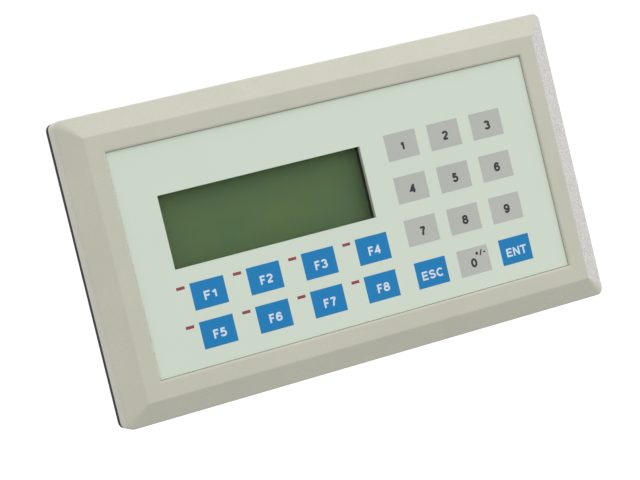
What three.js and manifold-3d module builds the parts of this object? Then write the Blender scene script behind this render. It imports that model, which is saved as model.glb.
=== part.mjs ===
// A cabinet-mounted operator panel: a membrane keypad and a four-line character display in a moulded frame.
// Millimetres. +X runs to the operator's right, +Z up, and the face looks along -Y. The origin is the
// centre of the cabinet wall's front surface, where the gasket seats. The frame is in front of it and the
// box behind.
import * as THREE from "three";
import { mergeVertices } from "three/addons/utils/BufferGeometryUtils.js";
import Module from "manifold-3d";

const wasm = await Module();
wasm.setup();

// ---- Driving dimensions ----------------------------------------------------------------------------------

// Gaps between pieces
const SEAT = 0.1; // left between two faces that rest on each other
const FIT = 0.15; // round a piece that slides in a hole
const ROOM = 0.3; // round a piece that is only dropped into place

// Face layout
const WINDOW_WIDTH = 76;
const WINDOW_HEIGHT = 25.4;
const KEY_WIDTH = 12.3;
const KEY_HEIGHT = 9.35;
const WINDOW_LEFT_MARGIN = 14.1; // film's left edge to the window
const WINDOW_TOP_MARGIN = 17.9;
const FUNCTION_INDENT = 3.6; // window's left edge to the first function key
const FUNCTION_GAP_X = 8.47; // between function keys, where the lamps sit
const FUNCTION_GAP_Z = 4.07;
const FUNCTION_COLUMNS = 4;
const NUMBER_COLUMNS = 3;
const NUMBER_KEYS = ["1", "2", "3", "4", "5", "6", "7", "8", "9", "esc", "0", "enter"];
const WINDOW_TO_FUNCTION = 5.66; // window's lower edge to the upper function row
const WINDOW_TO_NUMBERS = 9.73; // least gap from the window to the number block
const FUNCTION_TO_NUMBERS = 7.5; // least gap from the function block to the number block
const NUMBER_GAP_X = 4.83;
const NUMBER_GAP_Z = 5.99;
const NUMBERS_RIGHT_MARGIN = 13.2;
const NUMBERS_TOP_MARGIN = 16.4; // least gap above the number block
const LOWER_MARGIN = 6;
const LAMP_WIDTH = 3;
const LAMP_HEIGHT = 1;
const LAMP_TO_KEY = 1.9; // lamp's right end to its key
const LAMP_DROP = 0.35; // key's top edge down to the lamp's

// Frame, from the face backwards
const RIM_WIDTH = 6.3;
const RIM_RISE = 1.15; // rim in front of the film
const RIM_CORNER = 0.4;
const CHAMFER_RUN = 7.5;
const CHAMFER_DEPTH = 4.9;
const SIDE_DEPTH = 7.5;
const CORNER_RADIUS = 2.5;
const SIDE_SKIN = 2.2; // outer skin of the hollow side
const INNER_SKIN = 1.8;
const CORE_DEPTH = 6.6; // pockets between the ribs, from the back
const RIB_PITCH = 12;
const RIB_THICKNESS = 1.2;
const FACE_PLATE = 1.2; // plate that carries the film
const GASKET_DEPTH = 3.2;
const GASKET_INSET = 0.1; // gasket's outer edge inside the frame's
const PANEL_OVERLAP = 13.8; // frame's edge to the box that passes the cabinet's cut-out

// Keypad
const FILM = 0.5;
const KEY_PROUD = 0.15; // key's face in front of the film
const KEY_TRAVEL = 0.5;
const KEY_FLANGE = 0.8; // lip behind the plate that keeps a key in
const KEY_FLANGE_DEPTH = 0.5;
const KEY_NUB_RADIUS = 1.5;
const KEY_NUB_DEPTH = 0.3;
const DOME_HEIGHT = 0.4;
const DOME_RADIUS = 4;
const DOME_TOP_RADIUS = 2.4;
const DOME_SHEET = 0.3;
const KEYPAD_BOARD = 1.2;
const KEYPAD_INSET_X = 8.6; // board's edge inside the film's, clear of the screw bosses
const KEYPAD_INSET_Z = 4;
const STAKE_INSET_X = 2; // stakes inside the board's edge
const STAKE_INSET_Z = 3;
const STAKE_RADIUS = 1.3;
const STAKE_PIN_RADIUS = 0.9;
const LED_HEIGHT = 0.6;
const LAMP_COLLAR = 0.5;

// Display module
const PANE = 0.8;
const PANE_LAP = 1.5; // pane behind the window's edge
const DISPLAY_LAP = 0.8; // metal frame's opening outside the window's edge
const METAL = 0.5; // sheet of the display's frame
const GLASS = 2.4;
const BACKLIGHT = 3.6;
const GLASS_BORDER_X = 8;
const GLASS_BORDER_Z = 4.8;
const DISPLAY_BORDER_X = 10.5; // metal frame outside the window
const DISPLAY_BORDER_Z = 7;
const DISPLAY_BOARD = 1.6;
const DISPLAY_BOARD_BORDER_X = 11;
const DISPLAY_BOARD_BORDER_Z = 9.4;

// Box behind the cabinet wall
const BOX_DEPTH = 30; // behind the seating plane, without its cover
const BOX_LEAD_IN = 2.7; // box inside the frame, in front of the seating plane
const BOX_WALL = 2;
const BOX_CORNER = 4;
const COVER = 2;
const TUBE_RADIUS = 3.2; // screw tubes in the box's corners
const TUBE_INSET = 4.9; // tube's centre inside the box's outside
const SCREW_RADIUS = 1.4;
const SCREW_BITE = 3.4; // thread inside the frame's boss
const SCREW_HEAD_RADIUS = 2.8;
const SCREW_HEAD_DEPTH = 1.9;
const SCREW_HEAD_TAPER = 0.8;
const RECESS_LENGTH = 2.8;
const RECESS_WIDTH = 0.7;
const RECESS_DEPTH = 0.95;
const VENT_WIDTH = 2;
const VENT_LENGTH = 16;
const VENT_PITCH = 5;
const VENTS = 8;

// Main board and connectors
const MAIN_BOARD = 1.6;
const MAIN_BOARD_INSET = 8; // inside the box's inner wall
const STANDOFF = 6.4;
const STANDOFF_RADIUS = 2.6;
const STANDOFF_INSET = 6;
const PROCESSOR_SIZE = 14;
const PROCESSOR_DEPTH = 1.8;
const PORT_X = -36;
const CONNECTOR_Z = -20;
const PORT_FLANGE_WIDTH = 30.8;
const PORT_FLANGE_HEIGHT = 12.5;
const PORT_FLANGE_DEPTH = 1;
const PORT_BODY_WIDTH = 19;
const PORT_SHELL_WIDTH = 16.9;
const PORT_SHELL_HEIGHT = 8.3;
const PORT_SHELL_SLANT = 1.4;
const PORT_SHELL_OUT = 5.8; // shell behind the cover
const PORT_CONTACT_PITCH = 2.77;
const PORT_CONTACT_RADIUS = 0.6;
const PORT_ROWS = [5, 4];
const JACK_SPACING = 25;
const JACK_RADIUS = 2.7; // to the hexagon's corners
const JACK_STEM_RADIUS = 1.35;
const JACK_OUT = 5;
const JACK_BORE_DEPTH = 2.5;
const TERMINAL_X = 38;
const TERMINAL_POLES = 3;
const TERMINAL_PITCH = 5.08;
const TERMINAL_HEIGHT = 9;
const TERMINAL_OUT = 6;
const TERMINAL_ENTRY = 2.8;

// Cables inside
const CABLE_THICKNESS = 0.4;
const KEYPAD_CABLE_WIDTH = 18;
const DISPLAY_CABLE_WIDTH = 20;
const CABLE_SHIFT = 7; // sideways run of the keypad cable from end to end

// Clamps
const CLAMP_SPACING = 104;
const CLAMP_WIDTH = 10;
const CLAMP_FRONT = 13.4;
const CLAMP_DEPTH = 14;
const CLAMP_HOOK_WIDTH = 7;
const CLAMP_HOOK_DEPTH = 3;
const CLAMP_LIP = 2;
const CLAMP_LIP_HEIGHT = 0.9;
const CLAMP_SCREW_RADIUS = 2;
const CLAMP_SCREW_TRAVEL = 5;
const CLAMP_HEAD_ROOM = 1.1; // head off the clamp when the screw is fully in
const CLAMP_HEAD_RADIUS = 3.2;
const CLAMP_HEAD_DEPTH = 3;
const CLAMP_FOOT_RADIUS = 2.6;
const CLAMP_FOOT_DEPTH = 1.5;
const CLAMP_SLOT_DEPTH = 1.2;
const CLAMP_SLOT_WIDTH = 0.8;
const PANEL_ROOM = 6.5; // thickest cabinet wall the open clamps take

const ROUND = 16; // facets of a large round

// ---- Sizes that follow -----------------------------------------------------------------------------------

// Face layout, first measured from the window's upper left corner
const functionPitchX = KEY_WIDTH + FUNCTION_GAP_X;
const functionRight = FUNCTION_INDENT + FUNCTION_COLUMNS * functionPitchX - FUNCTION_GAP_X;
const numbersLeft = Math.max(WINDOW_WIDTH + WINDOW_TO_NUMBERS, functionRight + FUNCTION_TO_NUMBERS);
const numberPitchX = KEY_WIDTH + NUMBER_GAP_X;
const numberPitchZ = KEY_HEIGHT + NUMBER_GAP_Z;
const upperRowTop = -WINDOW_HEIGHT - WINDOW_TO_FUNCTION;
const lowerRowTop = upperRowTop - KEY_HEIGHT - FUNCTION_GAP_Z;
const numbersTop = lowerRowTop + (NUMBER_KEYS.length / NUMBER_COLUMNS - 1) * numberPitchZ;
const filmLeft = -WINDOW_LEFT_MARGIN;
const filmRight = numbersLeft + NUMBER_COLUMNS * numberPitchX - NUMBER_GAP_X + NUMBERS_RIGHT_MARGIN;
const filmTop = Math.max(WINDOW_TOP_MARGIN, numbersTop + NUMBERS_TOP_MARGIN);
const filmBottom = lowerRowTop - KEY_HEIGHT - LOWER_MARGIN;
const centreX = (filmLeft + filmRight) / 2;
const centreZ = (filmTop + filmBottom) / 2;

const filmWidth = filmRight - filmLeft;
const filmHeight = filmTop - filmBottom;
const windowX = WINDOW_WIDTH / 2 - centreX;
const windowZ = -WINDOW_HEIGHT / 2 - centreZ;
const frameWidth = filmWidth + 2 * (RIM_WIDTH + CHAMFER_RUN);
const frameHeight = filmHeight + 2 * (RIM_WIDTH + CHAMFER_RUN);
const boxWidth = frameWidth - 2 * PANEL_OVERLAP;
const boxHeight = frameHeight - 2 * PANEL_OVERLAP;

// Depths along Y, from the seating plane forwards and then back through the stack
const frameBack = -GASKET_DEPTH - SEAT;
const chamferStart = frameBack - SIDE_DEPTH;
const rimFront = chamferStart - CHAMFER_DEPTH;
const filmFront = rimFront + RIM_RISE;
const filmBack = filmFront + FILM;
const plateFront = filmBack + SEAT;
const plateBack = plateFront + FACE_PLATE;
const flangeFront = plateBack + SEAT;
const flangeBack = flangeFront + KEY_FLANGE_DEPTH;
const nubBack = flangeBack + KEY_NUB_DEPTH;
const domeTop = nubBack + KEY_TRAVEL + FIT;
const domeSheetFront = domeTop + DOME_HEIGHT;
const domeSheetBack = domeSheetFront + DOME_SHEET;
const keypadFront = domeSheetBack + SEAT;
const keypadBack = keypadFront + KEYPAD_BOARD;
const displayFront = keypadBack + SEAT;
const glassFront = displayFront + METAL + SEAT;
const glassBack = glassFront + GLASS;
const backlightFront = glassBack + SEAT;
const backlightBack = backlightFront + BACKLIGHT;
const displayBoardFront = backlightBack + SEAT;
const displayBoardBack = displayBoardFront + DISPLAY_BOARD;
const boxFront = -BOX_LEAD_IN - GASKET_DEPTH;
const coverFront = BOX_DEPTH + SEAT;
const coverBack = coverFront + COVER;
const mainBoardBack = coverFront - STANDOFF - SEAT;
const mainBoardFront = mainBoardBack - MAIN_BOARD;
const bossBack = boxFront - SEAT;

const tubeX = boxWidth / 2 - TUBE_INSET;
const tubeZ = boxHeight / 2 - TUBE_INSET;
const keypadWidth = filmWidth - 2 * KEYPAD_INSET_X;
const keypadHeight = filmHeight - 2 * KEYPAD_INSET_Z;
const mainBoardWidth = boxWidth - 2 * (BOX_WALL + MAIN_BOARD_INSET);
const mainBoardHeight = boxHeight - 2 * (BOX_WALL + MAIN_BOARD_INSET);
const clampHeight = PANEL_OVERLAP - 2 * ROOM;
const clampZ = boxHeight / 2 + ROOM + clampHeight / 2;
const terminalWidth = TERMINAL_POLES * TERMINAL_PITCH;

// ---- Solids ----------------------------------------------------------------------------------------------

// A closed three.js geometry as a solid that can be cut and joined.
function solidOf(geometry) {
  const bare = geometry.index ? geometry.toNonIndexed() : geometry.clone();
  bare.deleteAttribute("normal");
  bare.deleteAttribute("uv");
  const merged = mergeVertices(bare, 1e-4);
  return new wasm.Manifold(
    new wasm.Mesh({
      numProp: 3,
      vertProperties: new Float32Array(merged.attributes.position.array),
      triVerts: new Uint32Array(merged.index.array),
    }),
  );
}

// A solid's surface as a three.js geometry.
function geometryOf(solid) {
  const mesh = solid.getMesh();
  const geometry = new THREE.BufferGeometry();
  geometry.setAttribute("position", new THREE.BufferAttribute(new Float32Array(mesh.vertProperties), 3));
  geometry.setIndex(new THREE.BufferAttribute(new Uint32Array(mesh.triVerts), 1));
  geometry.computeVertexNormals();
  return geometry;
}

// A rectangle with round corners, drawn about its centre: x is the part's X and y is its Z.
function roundedRectangle(width, height, radius, x = 0, z = 0) {
  const shape = new THREE.Shape();
  const right = width / 2 - radius;
  const top = height / 2 - radius;
  const corners = [
    [right, top, 0],
    [-right, top, Math.PI / 2],
    [-right, -top, Math.PI],
    [right, -top, (3 * Math.PI) / 2],
  ];
  for (const [cornerX, cornerZ, start] of corners) {
    shape.absarc(x + cornerX, z + cornerZ, radius, start, start + Math.PI / 2, false);
  }
  return shape;
}

// A flat shape given depth along Y, from front to back.
function slab(shape, front, back, curveSegments = 4) {
  const geometry = new THREE.ExtrudeGeometry(shape, {
    depth: back - front,
    bevelEnabled: false,
    curveSegments,
  });
  return solidOf(geometry.rotateX(Math.PI / 2).translate(0, back, 0));
}

// A block from its middle in X and Z and its front and back in Y.
function block(width, height, front, back, x = 0, z = 0) {
  const geometry = new THREE.BoxGeometry(width, back - front, height);
  return solidOf(geometry.translate(x, (front + back) / 2, z));
}

// A round bar along Y. backRadius makes it a cone.
function bar(radius, front, back, x = 0, z = 0, backRadius = radius, facets = ROUND) {
  const geometry = new THREE.CylinderGeometry(backRadius, radius, back - front, facets);
  return solidOf(geometry.translate(x, (front + back) / 2, z));
}

// A skin over rectangles of growing or shrinking size, each at its own depth and listed from the back.
function loft(sections) {
  const loops = sections.map(({ y, width, height, radius }) => {
    const flat = roundedRectangle(width, height, radius).getPoints(4);
    flat.pop();
    return flat.map((point) => new THREE.Vector3(point.x, y, point.y));
  });
  const count = loops[0].length;
  const positions = loops.flat().flatMap((point) => [point.x, point.y, point.z]);
  const faces = [];
  for (let level = 0; level + 1 < loops.length; level += 1) {
    for (let i = 0; i < count; i += 1) {
      const here = level * count + i;
      const next = level * count + ((i + 1) % count);
      faces.push(here, next, next + count, here, next + count, here + count);
    }
  }
  const cap = THREE.ShapeUtils.triangulateShape(
    loops[0].map((point) => new THREE.Vector2(point.x, point.z)),
    [],
  );
  const last = (loops.length - 1) * count;
  for (const [a, b, c] of cap) {
    faces.push(a, c, b, last + a, last + b, last + c);
  }
  const geometry = new THREE.BufferGeometry();
  geometry.setAttribute("position", new THREE.Float32BufferAttribute(positions, 3));
  geometry.setIndex(faces);
  return solidOf(geometry);
}

const join = (solids) => solids.reduce((whole, piece) => whole.add(piece));
const cut = (solid, tools) => tools.reduce((left, tool) => left.subtract(tool), solid);

// ---- Finishes --------------------------------------------------------------------------------------------

const finish = (color, roughness, metalness = 0) =>
  new THREE.MeshStandardMaterial({ color, roughness, metalness });

const FINISHES = {
  frame: finish(0xc9c6ba, 0.6),
  film: finish(0xced8cd, 0.45),
  greyKey: finish(0xb4b6af, 0.45),
  blueKey: finish(0x3882ba, 0.45),
  lamp: finish(0x912f3c, 0.3),
  pane: finish(0xe6ebe6, 0.05),
  glass: finish(0x54694a, 0.2),
  backlight: finish(0xdfe2d0, 0.5),
  steel: finish(0x8f9296, 0.35, 1),
  rubber: finish(0x1b1b1d, 0.85),
  domes: finish(0xd2d4c8, 0.4),
  board: finish(0x1f5a3a, 0.5),
  cable: finish(0xb9b9b4, 0.5),
  chip: finish(0x1d1d20, 0.5),
  housing: finish(0x3a3c3f, 0.6),
  cover: finish(0xa9acae, 0.4, 1),
  connector: finish(0x2c6b45, 0.5),
  screw: finish(0xb7b9bb, 0.3, 1),
};

const panel = new THREE.Group();

// Adds one named piece, with its own origin at a place in its parent group.
function place(name, solid, material, x = 0, y = 0, z = 0, parent = panel) {
  const mesh = new THREE.Mesh(geometryOf(solid), material);
  mesh.name = name;
  mesh.position.set(x, y, z);
  parent.add(mesh);
}

// ---- Face layout -----------------------------------------------------------------------------------------

// Keys by name, with each one's centre.
function layKeys() {
  const keys = [];
  for (let number = 1; number <= 2 * FUNCTION_COLUMNS; number += 1) {
    const column = (number - 1) % FUNCTION_COLUMNS;
    const top = number > FUNCTION_COLUMNS ? lowerRowTop : upperRowTop;
    keys.push({
      name: `f${number}`,
      x: FUNCTION_INDENT + column * functionPitchX + KEY_WIDTH / 2 - centreX,
      z: top - KEY_HEIGHT / 2 - centreZ,
      finish: FINISHES.blueKey,
      lit: true,
    });
  }
  NUMBER_KEYS.forEach((name, index) => {
    const column = index % NUMBER_COLUMNS;
    const row = Math.floor(index / NUMBER_COLUMNS);
    keys.push({
      name,
      x: numbersLeft + column * numberPitchX + KEY_WIDTH / 2 - centreX,
      z: numbersTop - row * numberPitchZ - KEY_HEIGHT / 2 - centreZ,
      finish: name.length > 1 ? FINISHES.blueKey : FINISHES.greyKey,
      lit: false,
    });
  });
  return keys;
}

const keys = layKeys();
const lamps = keys
  .filter((key) => key.lit)
  .map((key) => ({
    name: key.name,
    x: key.x - KEY_WIDTH / 2 - LAMP_TO_KEY - LAMP_WIDTH / 2,
    z: key.z + KEY_HEIGHT / 2 - LAMP_DROP - LAMP_HEIGHT / 2,
  }));

// Stakes hold the keypad board: at its corners, and between the function keys and the number block.
const stakeX = keypadWidth / 2 - STAKE_INSET_X;
const stakeZ = keypadHeight / 2 - STAKE_INSET_Z;
const middleX = numbersLeft - FUNCTION_TO_NUMBERS / 2 - centreX;
const stakes = [-stakeX, middleX, stakeX].flatMap((x) => [
  { x, z: stakeZ },
  { x, z: -stakeZ },
]);

const tubes = [
  { name: "top_left", x: -tubeX, z: tubeZ },
  { name: "top_right", x: tubeX, z: tubeZ },
  { name: "bottom_left", x: -tubeX, z: -tubeZ },
  { name: "bottom_right", x: tubeX, z: -tubeZ },
];

const clamps = [
  { name: "top_left", x: -CLAMP_SPACING / 2, up: 1 },
  { name: "top_right", x: CLAMP_SPACING / 2, up: 1 },
  { name: "bottom_left", x: -CLAMP_SPACING / 2, up: -1 },
  { name: "bottom_right", x: CLAMP_SPACING / 2, up: -1 },
];

// One slot or hole for each lamp, wider than the lamp by a margin all round.
const lampHoles = (margin, front, back) =>
  lamps.map(({ x, z }) => block(LAMP_WIDTH + 2 * margin, LAMP_HEIGHT + 2 * margin, front, back, x, z));

const keyHoles = (front, back) =>
  keys.map(({ x, z }) => block(KEY_WIDTH + 2 * FIT, KEY_HEIGHT + 2 * FIT, front, back, x, z));

// ---- Frame and film --------------------------------------------------------------------------------------

// Pockets that hollow the frame's sides from behind and leave ribs between them.
function ribPockets() {
  const pocketLength = RIB_PITCH - RIB_THICKNESS;
  const innerX = boxWidth / 2 + ROOM + INNER_SKIN;
  const innerZ = boxHeight / 2 + ROOM + INNER_SKIN;
  const band = PANEL_OVERLAP - ROOM - INNER_SKIN - SIDE_SKIN;
  const front = frameBack - CORE_DEPTH;
  const back = frameBack + 1;
  const pockets = [];
  const run = (length, make) => {
    const count = Math.floor(length / RIB_PITCH);
    for (let i = 0; i < count; i += 1) {
      make((i - (count - 1) / 2) * RIB_PITCH);
    }
  };
  run(2 * innerX, (x) => {
    pockets.push(block(pocketLength, band, front, back, x, innerZ + band / 2));
    pockets.push(block(pocketLength, band, front, back, x, -innerZ - band / 2));
  });
  run(2 * innerZ, (z) => {
    pockets.push(block(band, pocketLength, front, back, innerX + band / 2, z));
    pockets.push(block(band, pocketLength, front, back, -innerX - band / 2, z));
  });
  return pockets;
}

function frontFrame() {
  const body = loft([
    { y: frameBack, width: frameWidth, height: frameHeight, radius: CORNER_RADIUS },
    { y: chamferStart, width: frameWidth, height: frameHeight, radius: CORNER_RADIUS },
    {
      y: rimFront,
      width: frameWidth - 2 * CHAMFER_RUN,
      height: frameHeight - 2 * CHAMFER_RUN,
      radius: RIM_CORNER,
    },
  ]);
  const hollowWidth = boxWidth + 2 * ROOM;
  const hollowHeight = boxHeight + 2 * ROOM;
  const shell = cut(body, [
    block(filmWidth, filmHeight, rimFront - 1, plateFront),
    slab(roundedRectangle(hollowWidth, hollowHeight, BOX_CORNER), plateBack, frameBack + 1),
    block(WINDOW_WIDTH, WINDOW_HEIGHT, plateFront - 1, plateBack + 1, windowX, windowZ),
    ...keyHoles(plateFront - 1, plateBack + 1),
    ...lampHoles(SEAT, plateFront - 1, plateBack + 1),
    ...ribPockets(),
  ]);
  const inside = plateBack - FACE_PLATE / 2;
  const bosses = tubes.map(({ x, z }) => bar(TUBE_RADIUS, inside, bossBack, x, z));
  const posts = stakes.map(({ x, z }) => bar(STAKE_RADIUS, inside, domeSheetFront - SEAT, x, z));
  const pins = stakes.map(({ x, z }) => bar(STAKE_PIN_RADIUS, inside, keypadBack + SEAT, x, z));
  const pilots = tubes.map(({ x, z }) =>
    bar(SCREW_RADIUS + SEAT, bossBack - SCREW_BITE - ROOM, bossBack + 1, x, z),
  );
  return cut(join([shell, ...bosses, ...posts, ...pins]), pilots);
}

function film() {
  const sheet = block(filmWidth - 2 * SEAT, filmHeight - 2 * SEAT, filmFront, filmBack);
  return cut(sheet, [
    block(WINDOW_WIDTH, WINDOW_HEIGHT, filmFront - 1, filmBack + 1, windowX, windowZ),
    ...keyHoles(filmFront - 1, filmBack + 1),
    ...lampHoles(SEAT, filmFront - 1, filmBack + 1),
  ]);
}

function gasket() {
  const width = frameWidth - 2 * GASKET_INSET;
  const height = frameHeight - 2 * GASKET_INSET;
  const opening = roundedRectangle(boxWidth + 2 * ROOM, boxHeight + 2 * ROOM, BOX_CORNER);
  return slab(roundedRectangle(width, height, CORNER_RADIUS), -GASKET_DEPTH, 0).subtract(
    slab(opening, -GASKET_DEPTH - 1, 1),
  );
}

// ---- Keypad ----------------------------------------------------------------------------------------------

function key() {
  return join([
    block(KEY_WIDTH, KEY_HEIGHT, filmFront - KEY_PROUD, flangeFront + KEY_FLANGE_DEPTH / 2),
    block(KEY_WIDTH + 2 * KEY_FLANGE, KEY_HEIGHT + 2 * KEY_FLANGE, flangeFront, flangeBack),
    bar(KEY_NUB_RADIUS, flangeBack - KEY_FLANGE_DEPTH / 2, nubBack, 0, 0, KEY_NUB_RADIUS, ROUND / 2),
  ]);
}

// A clear bar that carries a lamp's light from the board to the face.
function lightPipe() {
  const back = keypadFront - LED_HEIGHT - FIT;
  return join([
    block(LAMP_WIDTH, LAMP_HEIGHT, filmFront - SEAT / 2, back),
    block(LAMP_WIDTH + 2 * LAMP_COLLAR, LAMP_HEIGHT + 2 * LAMP_COLLAR, flangeFront, flangeBack),
  ]);
}

// The cut-out of a keypad layer behind the display window.
const displayCutout = (front, back) =>
  block(
    WINDOW_WIDTH + 2 * (PANE_LAP + ROOM),
    WINDOW_HEIGHT + 2 * (PANE_LAP + ROOM),
    front - 1,
    back + 1,
    windowX,
    windowZ,
  );

function domeSheet() {
  const sheet = block(keypadWidth, keypadHeight, domeSheetFront, domeSheetBack);
  const domes = keys.map(({ x, z }) =>
    bar(DOME_TOP_RADIUS, domeTop, domeSheetBack - DOME_SHEET / 2, x, z, DOME_RADIUS, ROUND / 2),
  );
  const holes = stakes.map(({ x, z }) =>
    bar(STAKE_RADIUS + SEAT, domeSheetFront - 1, domeSheetBack + 1, x, z),
  );
  return cut(join([sheet, ...domes]), [
    displayCutout(domeSheetFront, domeSheetBack),
    ...holes,
    ...lampHoles(ROOM, domeSheetFront - 1, domeSheetBack + 1),
  ]);
}

// The keypad's circuit board, with its eight lamp chips.
function keypadBoard() {
  const board = block(keypadWidth, keypadHeight, keypadFront, keypadBack);
  const leds = lamps.map(({ x, z }) =>
    block(LAMP_WIDTH - 2 * SEAT, LAMP_HEIGHT, keypadFront - LED_HEIGHT, keypadFront + FIT, x, z),
  );
  const holes = stakes.map(({ x, z }) =>
    bar(STAKE_PIN_RADIUS + SEAT, keypadFront - 1, keypadBack + 1, x, z),
  );
  return cut(join([board, ...leds]), [displayCutout(keypadFront, keypadBack), ...holes]);
}

// ---- Display module, drawn about the window's centre -----------------------------------------------------

const windowPane = () =>
  block(WINDOW_WIDTH + 2 * PANE_LAP, WINDOW_HEIGHT + 2 * PANE_LAP, flangeFront, flangeFront + PANE);

function displayFrame() {
  const width = WINDOW_WIDTH + 2 * DISPLAY_BORDER_X;
  const height = WINDOW_HEIGHT + 2 * DISPLAY_BORDER_Z;
  const openingWidth = WINDOW_WIDTH + 2 * DISPLAY_LAP;
  const openingHeight = WINDOW_HEIGHT + 2 * DISPLAY_LAP;
  return cut(block(width, height, displayFront, backlightBack), [
    block(width - 2 * METAL, height - 2 * METAL, displayFront + METAL, backlightBack + 1),
    block(openingWidth, openingHeight, displayFront - 1, displayFront + METAL + 1),
  ]);
}

const displayLayer = (front, back) =>
  block(WINDOW_WIDTH + 2 * GLASS_BORDER_X, WINDOW_HEIGHT + 2 * GLASS_BORDER_Z, front, back);

const displayBoard = () =>
  block(
    WINDOW_WIDTH + 2 * DISPLAY_BOARD_BORDER_X,
    WINDOW_HEIGHT + 2 * DISPLAY_BOARD_BORDER_Z,
    displayBoardFront,
    displayBoardBack,
  );

// ---- Box and its cover -----------------------------------------------------------------------------------

function box() {
  const outer = roundedRectangle(boxWidth, boxHeight, BOX_CORNER);
  const inner = roundedRectangle(boxWidth - 2 * BOX_WALL, boxHeight - 2 * BOX_WALL, BOX_CORNER - BOX_WALL);
  const walls = slab(outer, boxFront, BOX_DEPTH).subtract(slab(inner, boxFront - 1, BOX_DEPTH + 1));
  const posts = tubes.map(({ x, z }) => bar(TUBE_RADIUS, boxFront, BOX_DEPTH, x, z));
  const bores = tubes.map(({ x, z }) => bar(SCREW_RADIUS + ROOM, boxFront - 1, BOX_DEPTH + 1, x, z));
  const wallZ = boxHeight / 2 - BOX_WALL / 2;
  const hookSlots = clamps.map(({ x, up }) =>
    block(
      CLAMP_HOOK_WIDTH + 2 * ROOM,
      3 * BOX_WALL,
      CLAMP_FRONT - ROOM,
      CLAMP_FRONT + CLAMP_HOOK_DEPTH + CLAMP_LIP + ROOM,
      x,
      up * wallZ,
    ),
  );
  const vents = [];
  for (let i = 0; i < VENTS; i += 1) {
    const x = (i - (VENTS - 1) / 2) * VENT_PITCH;
    const middle = BOX_DEPTH / 2;
    for (const up of [1, -1]) {
      const front = middle - VENT_LENGTH / 2;
      vents.push(block(VENT_WIDTH, 3 * BOX_WALL, front, front + VENT_LENGTH, x, up * wallZ));
    }
  }
  return cut(join([walls, ...posts]), [...bores, ...hookSlots, ...vents]);
}

// The connector shell's D outline, wider by a margin all round.
function shellOutline(margin) {
  const half = PORT_SHELL_WIDTH / 2 + margin;
  const top = PORT_SHELL_HEIGHT / 2 + margin;
  return new THREE.Shape([
    new THREE.Vector2(-half + PORT_SHELL_SLANT, -top),
    new THREE.Vector2(half - PORT_SHELL_SLANT, -top),
    new THREE.Vector2(half, top),
    new THREE.Vector2(-half, top),
  ]);
}

// The same outline put where the port is.
const shellAt = (margin, front, back) =>
  slab(shellOutline(margin), front, back).translate(PORT_X, 0, CONNECTOR_Z);

// Standoffs stand near the main board's corners.
const standoffs = [-1, 1].flatMap((side) =>
  [-1, 1].map((up) => ({
    x: side * (mainBoardWidth / 2 - STANDOFF_INSET),
    z: up * (mainBoardHeight / 2 - STANDOFF_INSET),
  })),
);

const jackOffsets = { jack_screw_left: -JACK_SPACING / 2, jack_screw_right: JACK_SPACING / 2 };

function cover() {
  const plate = slab(roundedRectangle(boxWidth, boxHeight, BOX_CORNER), coverFront, coverBack);
  const legs = standoffs.map(({ x, z }) =>
    bar(STANDOFF_RADIUS, coverFront - STANDOFF, coverFront + COVER / 2, x, z),
  );
  const screwHoles = tubes.map(({ x, z }) =>
    bar(SCREW_RADIUS + ROOM, coverFront - 1, coverBack + 1, x, z),
  );
  const jackHoles = Object.values(jackOffsets).map((offset) =>
    bar(JACK_RADIUS + ROOM, coverFront - 1, coverBack + 1, PORT_X + offset, CONNECTOR_Z),
  );
  const vents = [];
  for (let i = 0; i < VENTS; i += 1) {
    const x = (i - (VENTS - 1) / 2) * VENT_PITCH;
    vents.push(block(VENT_WIDTH, VENT_LENGTH, coverFront - 1, coverBack + 1, x, -CONNECTOR_Z));
  }
  return cut(join([plate, ...legs]), [
    ...screwHoles,
    ...jackHoles,
    ...vents,
    shellAt(ROOM, coverFront - 1, coverBack + 1),
    block(
      terminalWidth + 2 * ROOM,
      TERMINAL_HEIGHT + 2 * ROOM,
      coverFront - 1,
      coverBack + 1,
      TERMINAL_X,
      CONNECTOR_Z,
    ),
  ]);
}

// A machine screw seen from behind, with a cross recess.
function coverScrew() {
  const shank = bar(SCREW_RADIUS, bossBack - SCREW_BITE, coverBack + SEAT + SCREW_HEAD_DEPTH / 2);
  const head = bar(
    SCREW_HEAD_RADIUS,
    coverBack + SEAT,
    coverBack + SEAT + SCREW_HEAD_DEPTH,
    0,
    0,
    SCREW_HEAD_RADIUS * SCREW_HEAD_TAPER,
  );
  const end = coverBack + SEAT + SCREW_HEAD_DEPTH;
  const recess = [
    block(RECESS_LENGTH, RECESS_WIDTH, end - RECESS_DEPTH, end + 1),
    block(RECESS_WIDTH, RECESS_LENGTH, end - RECESS_DEPTH, end + 1),
  ];
  return cut(shank.add(head), recess);
}

// ---- Main board and connectors ---------------------------------------------------------------------------

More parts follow.
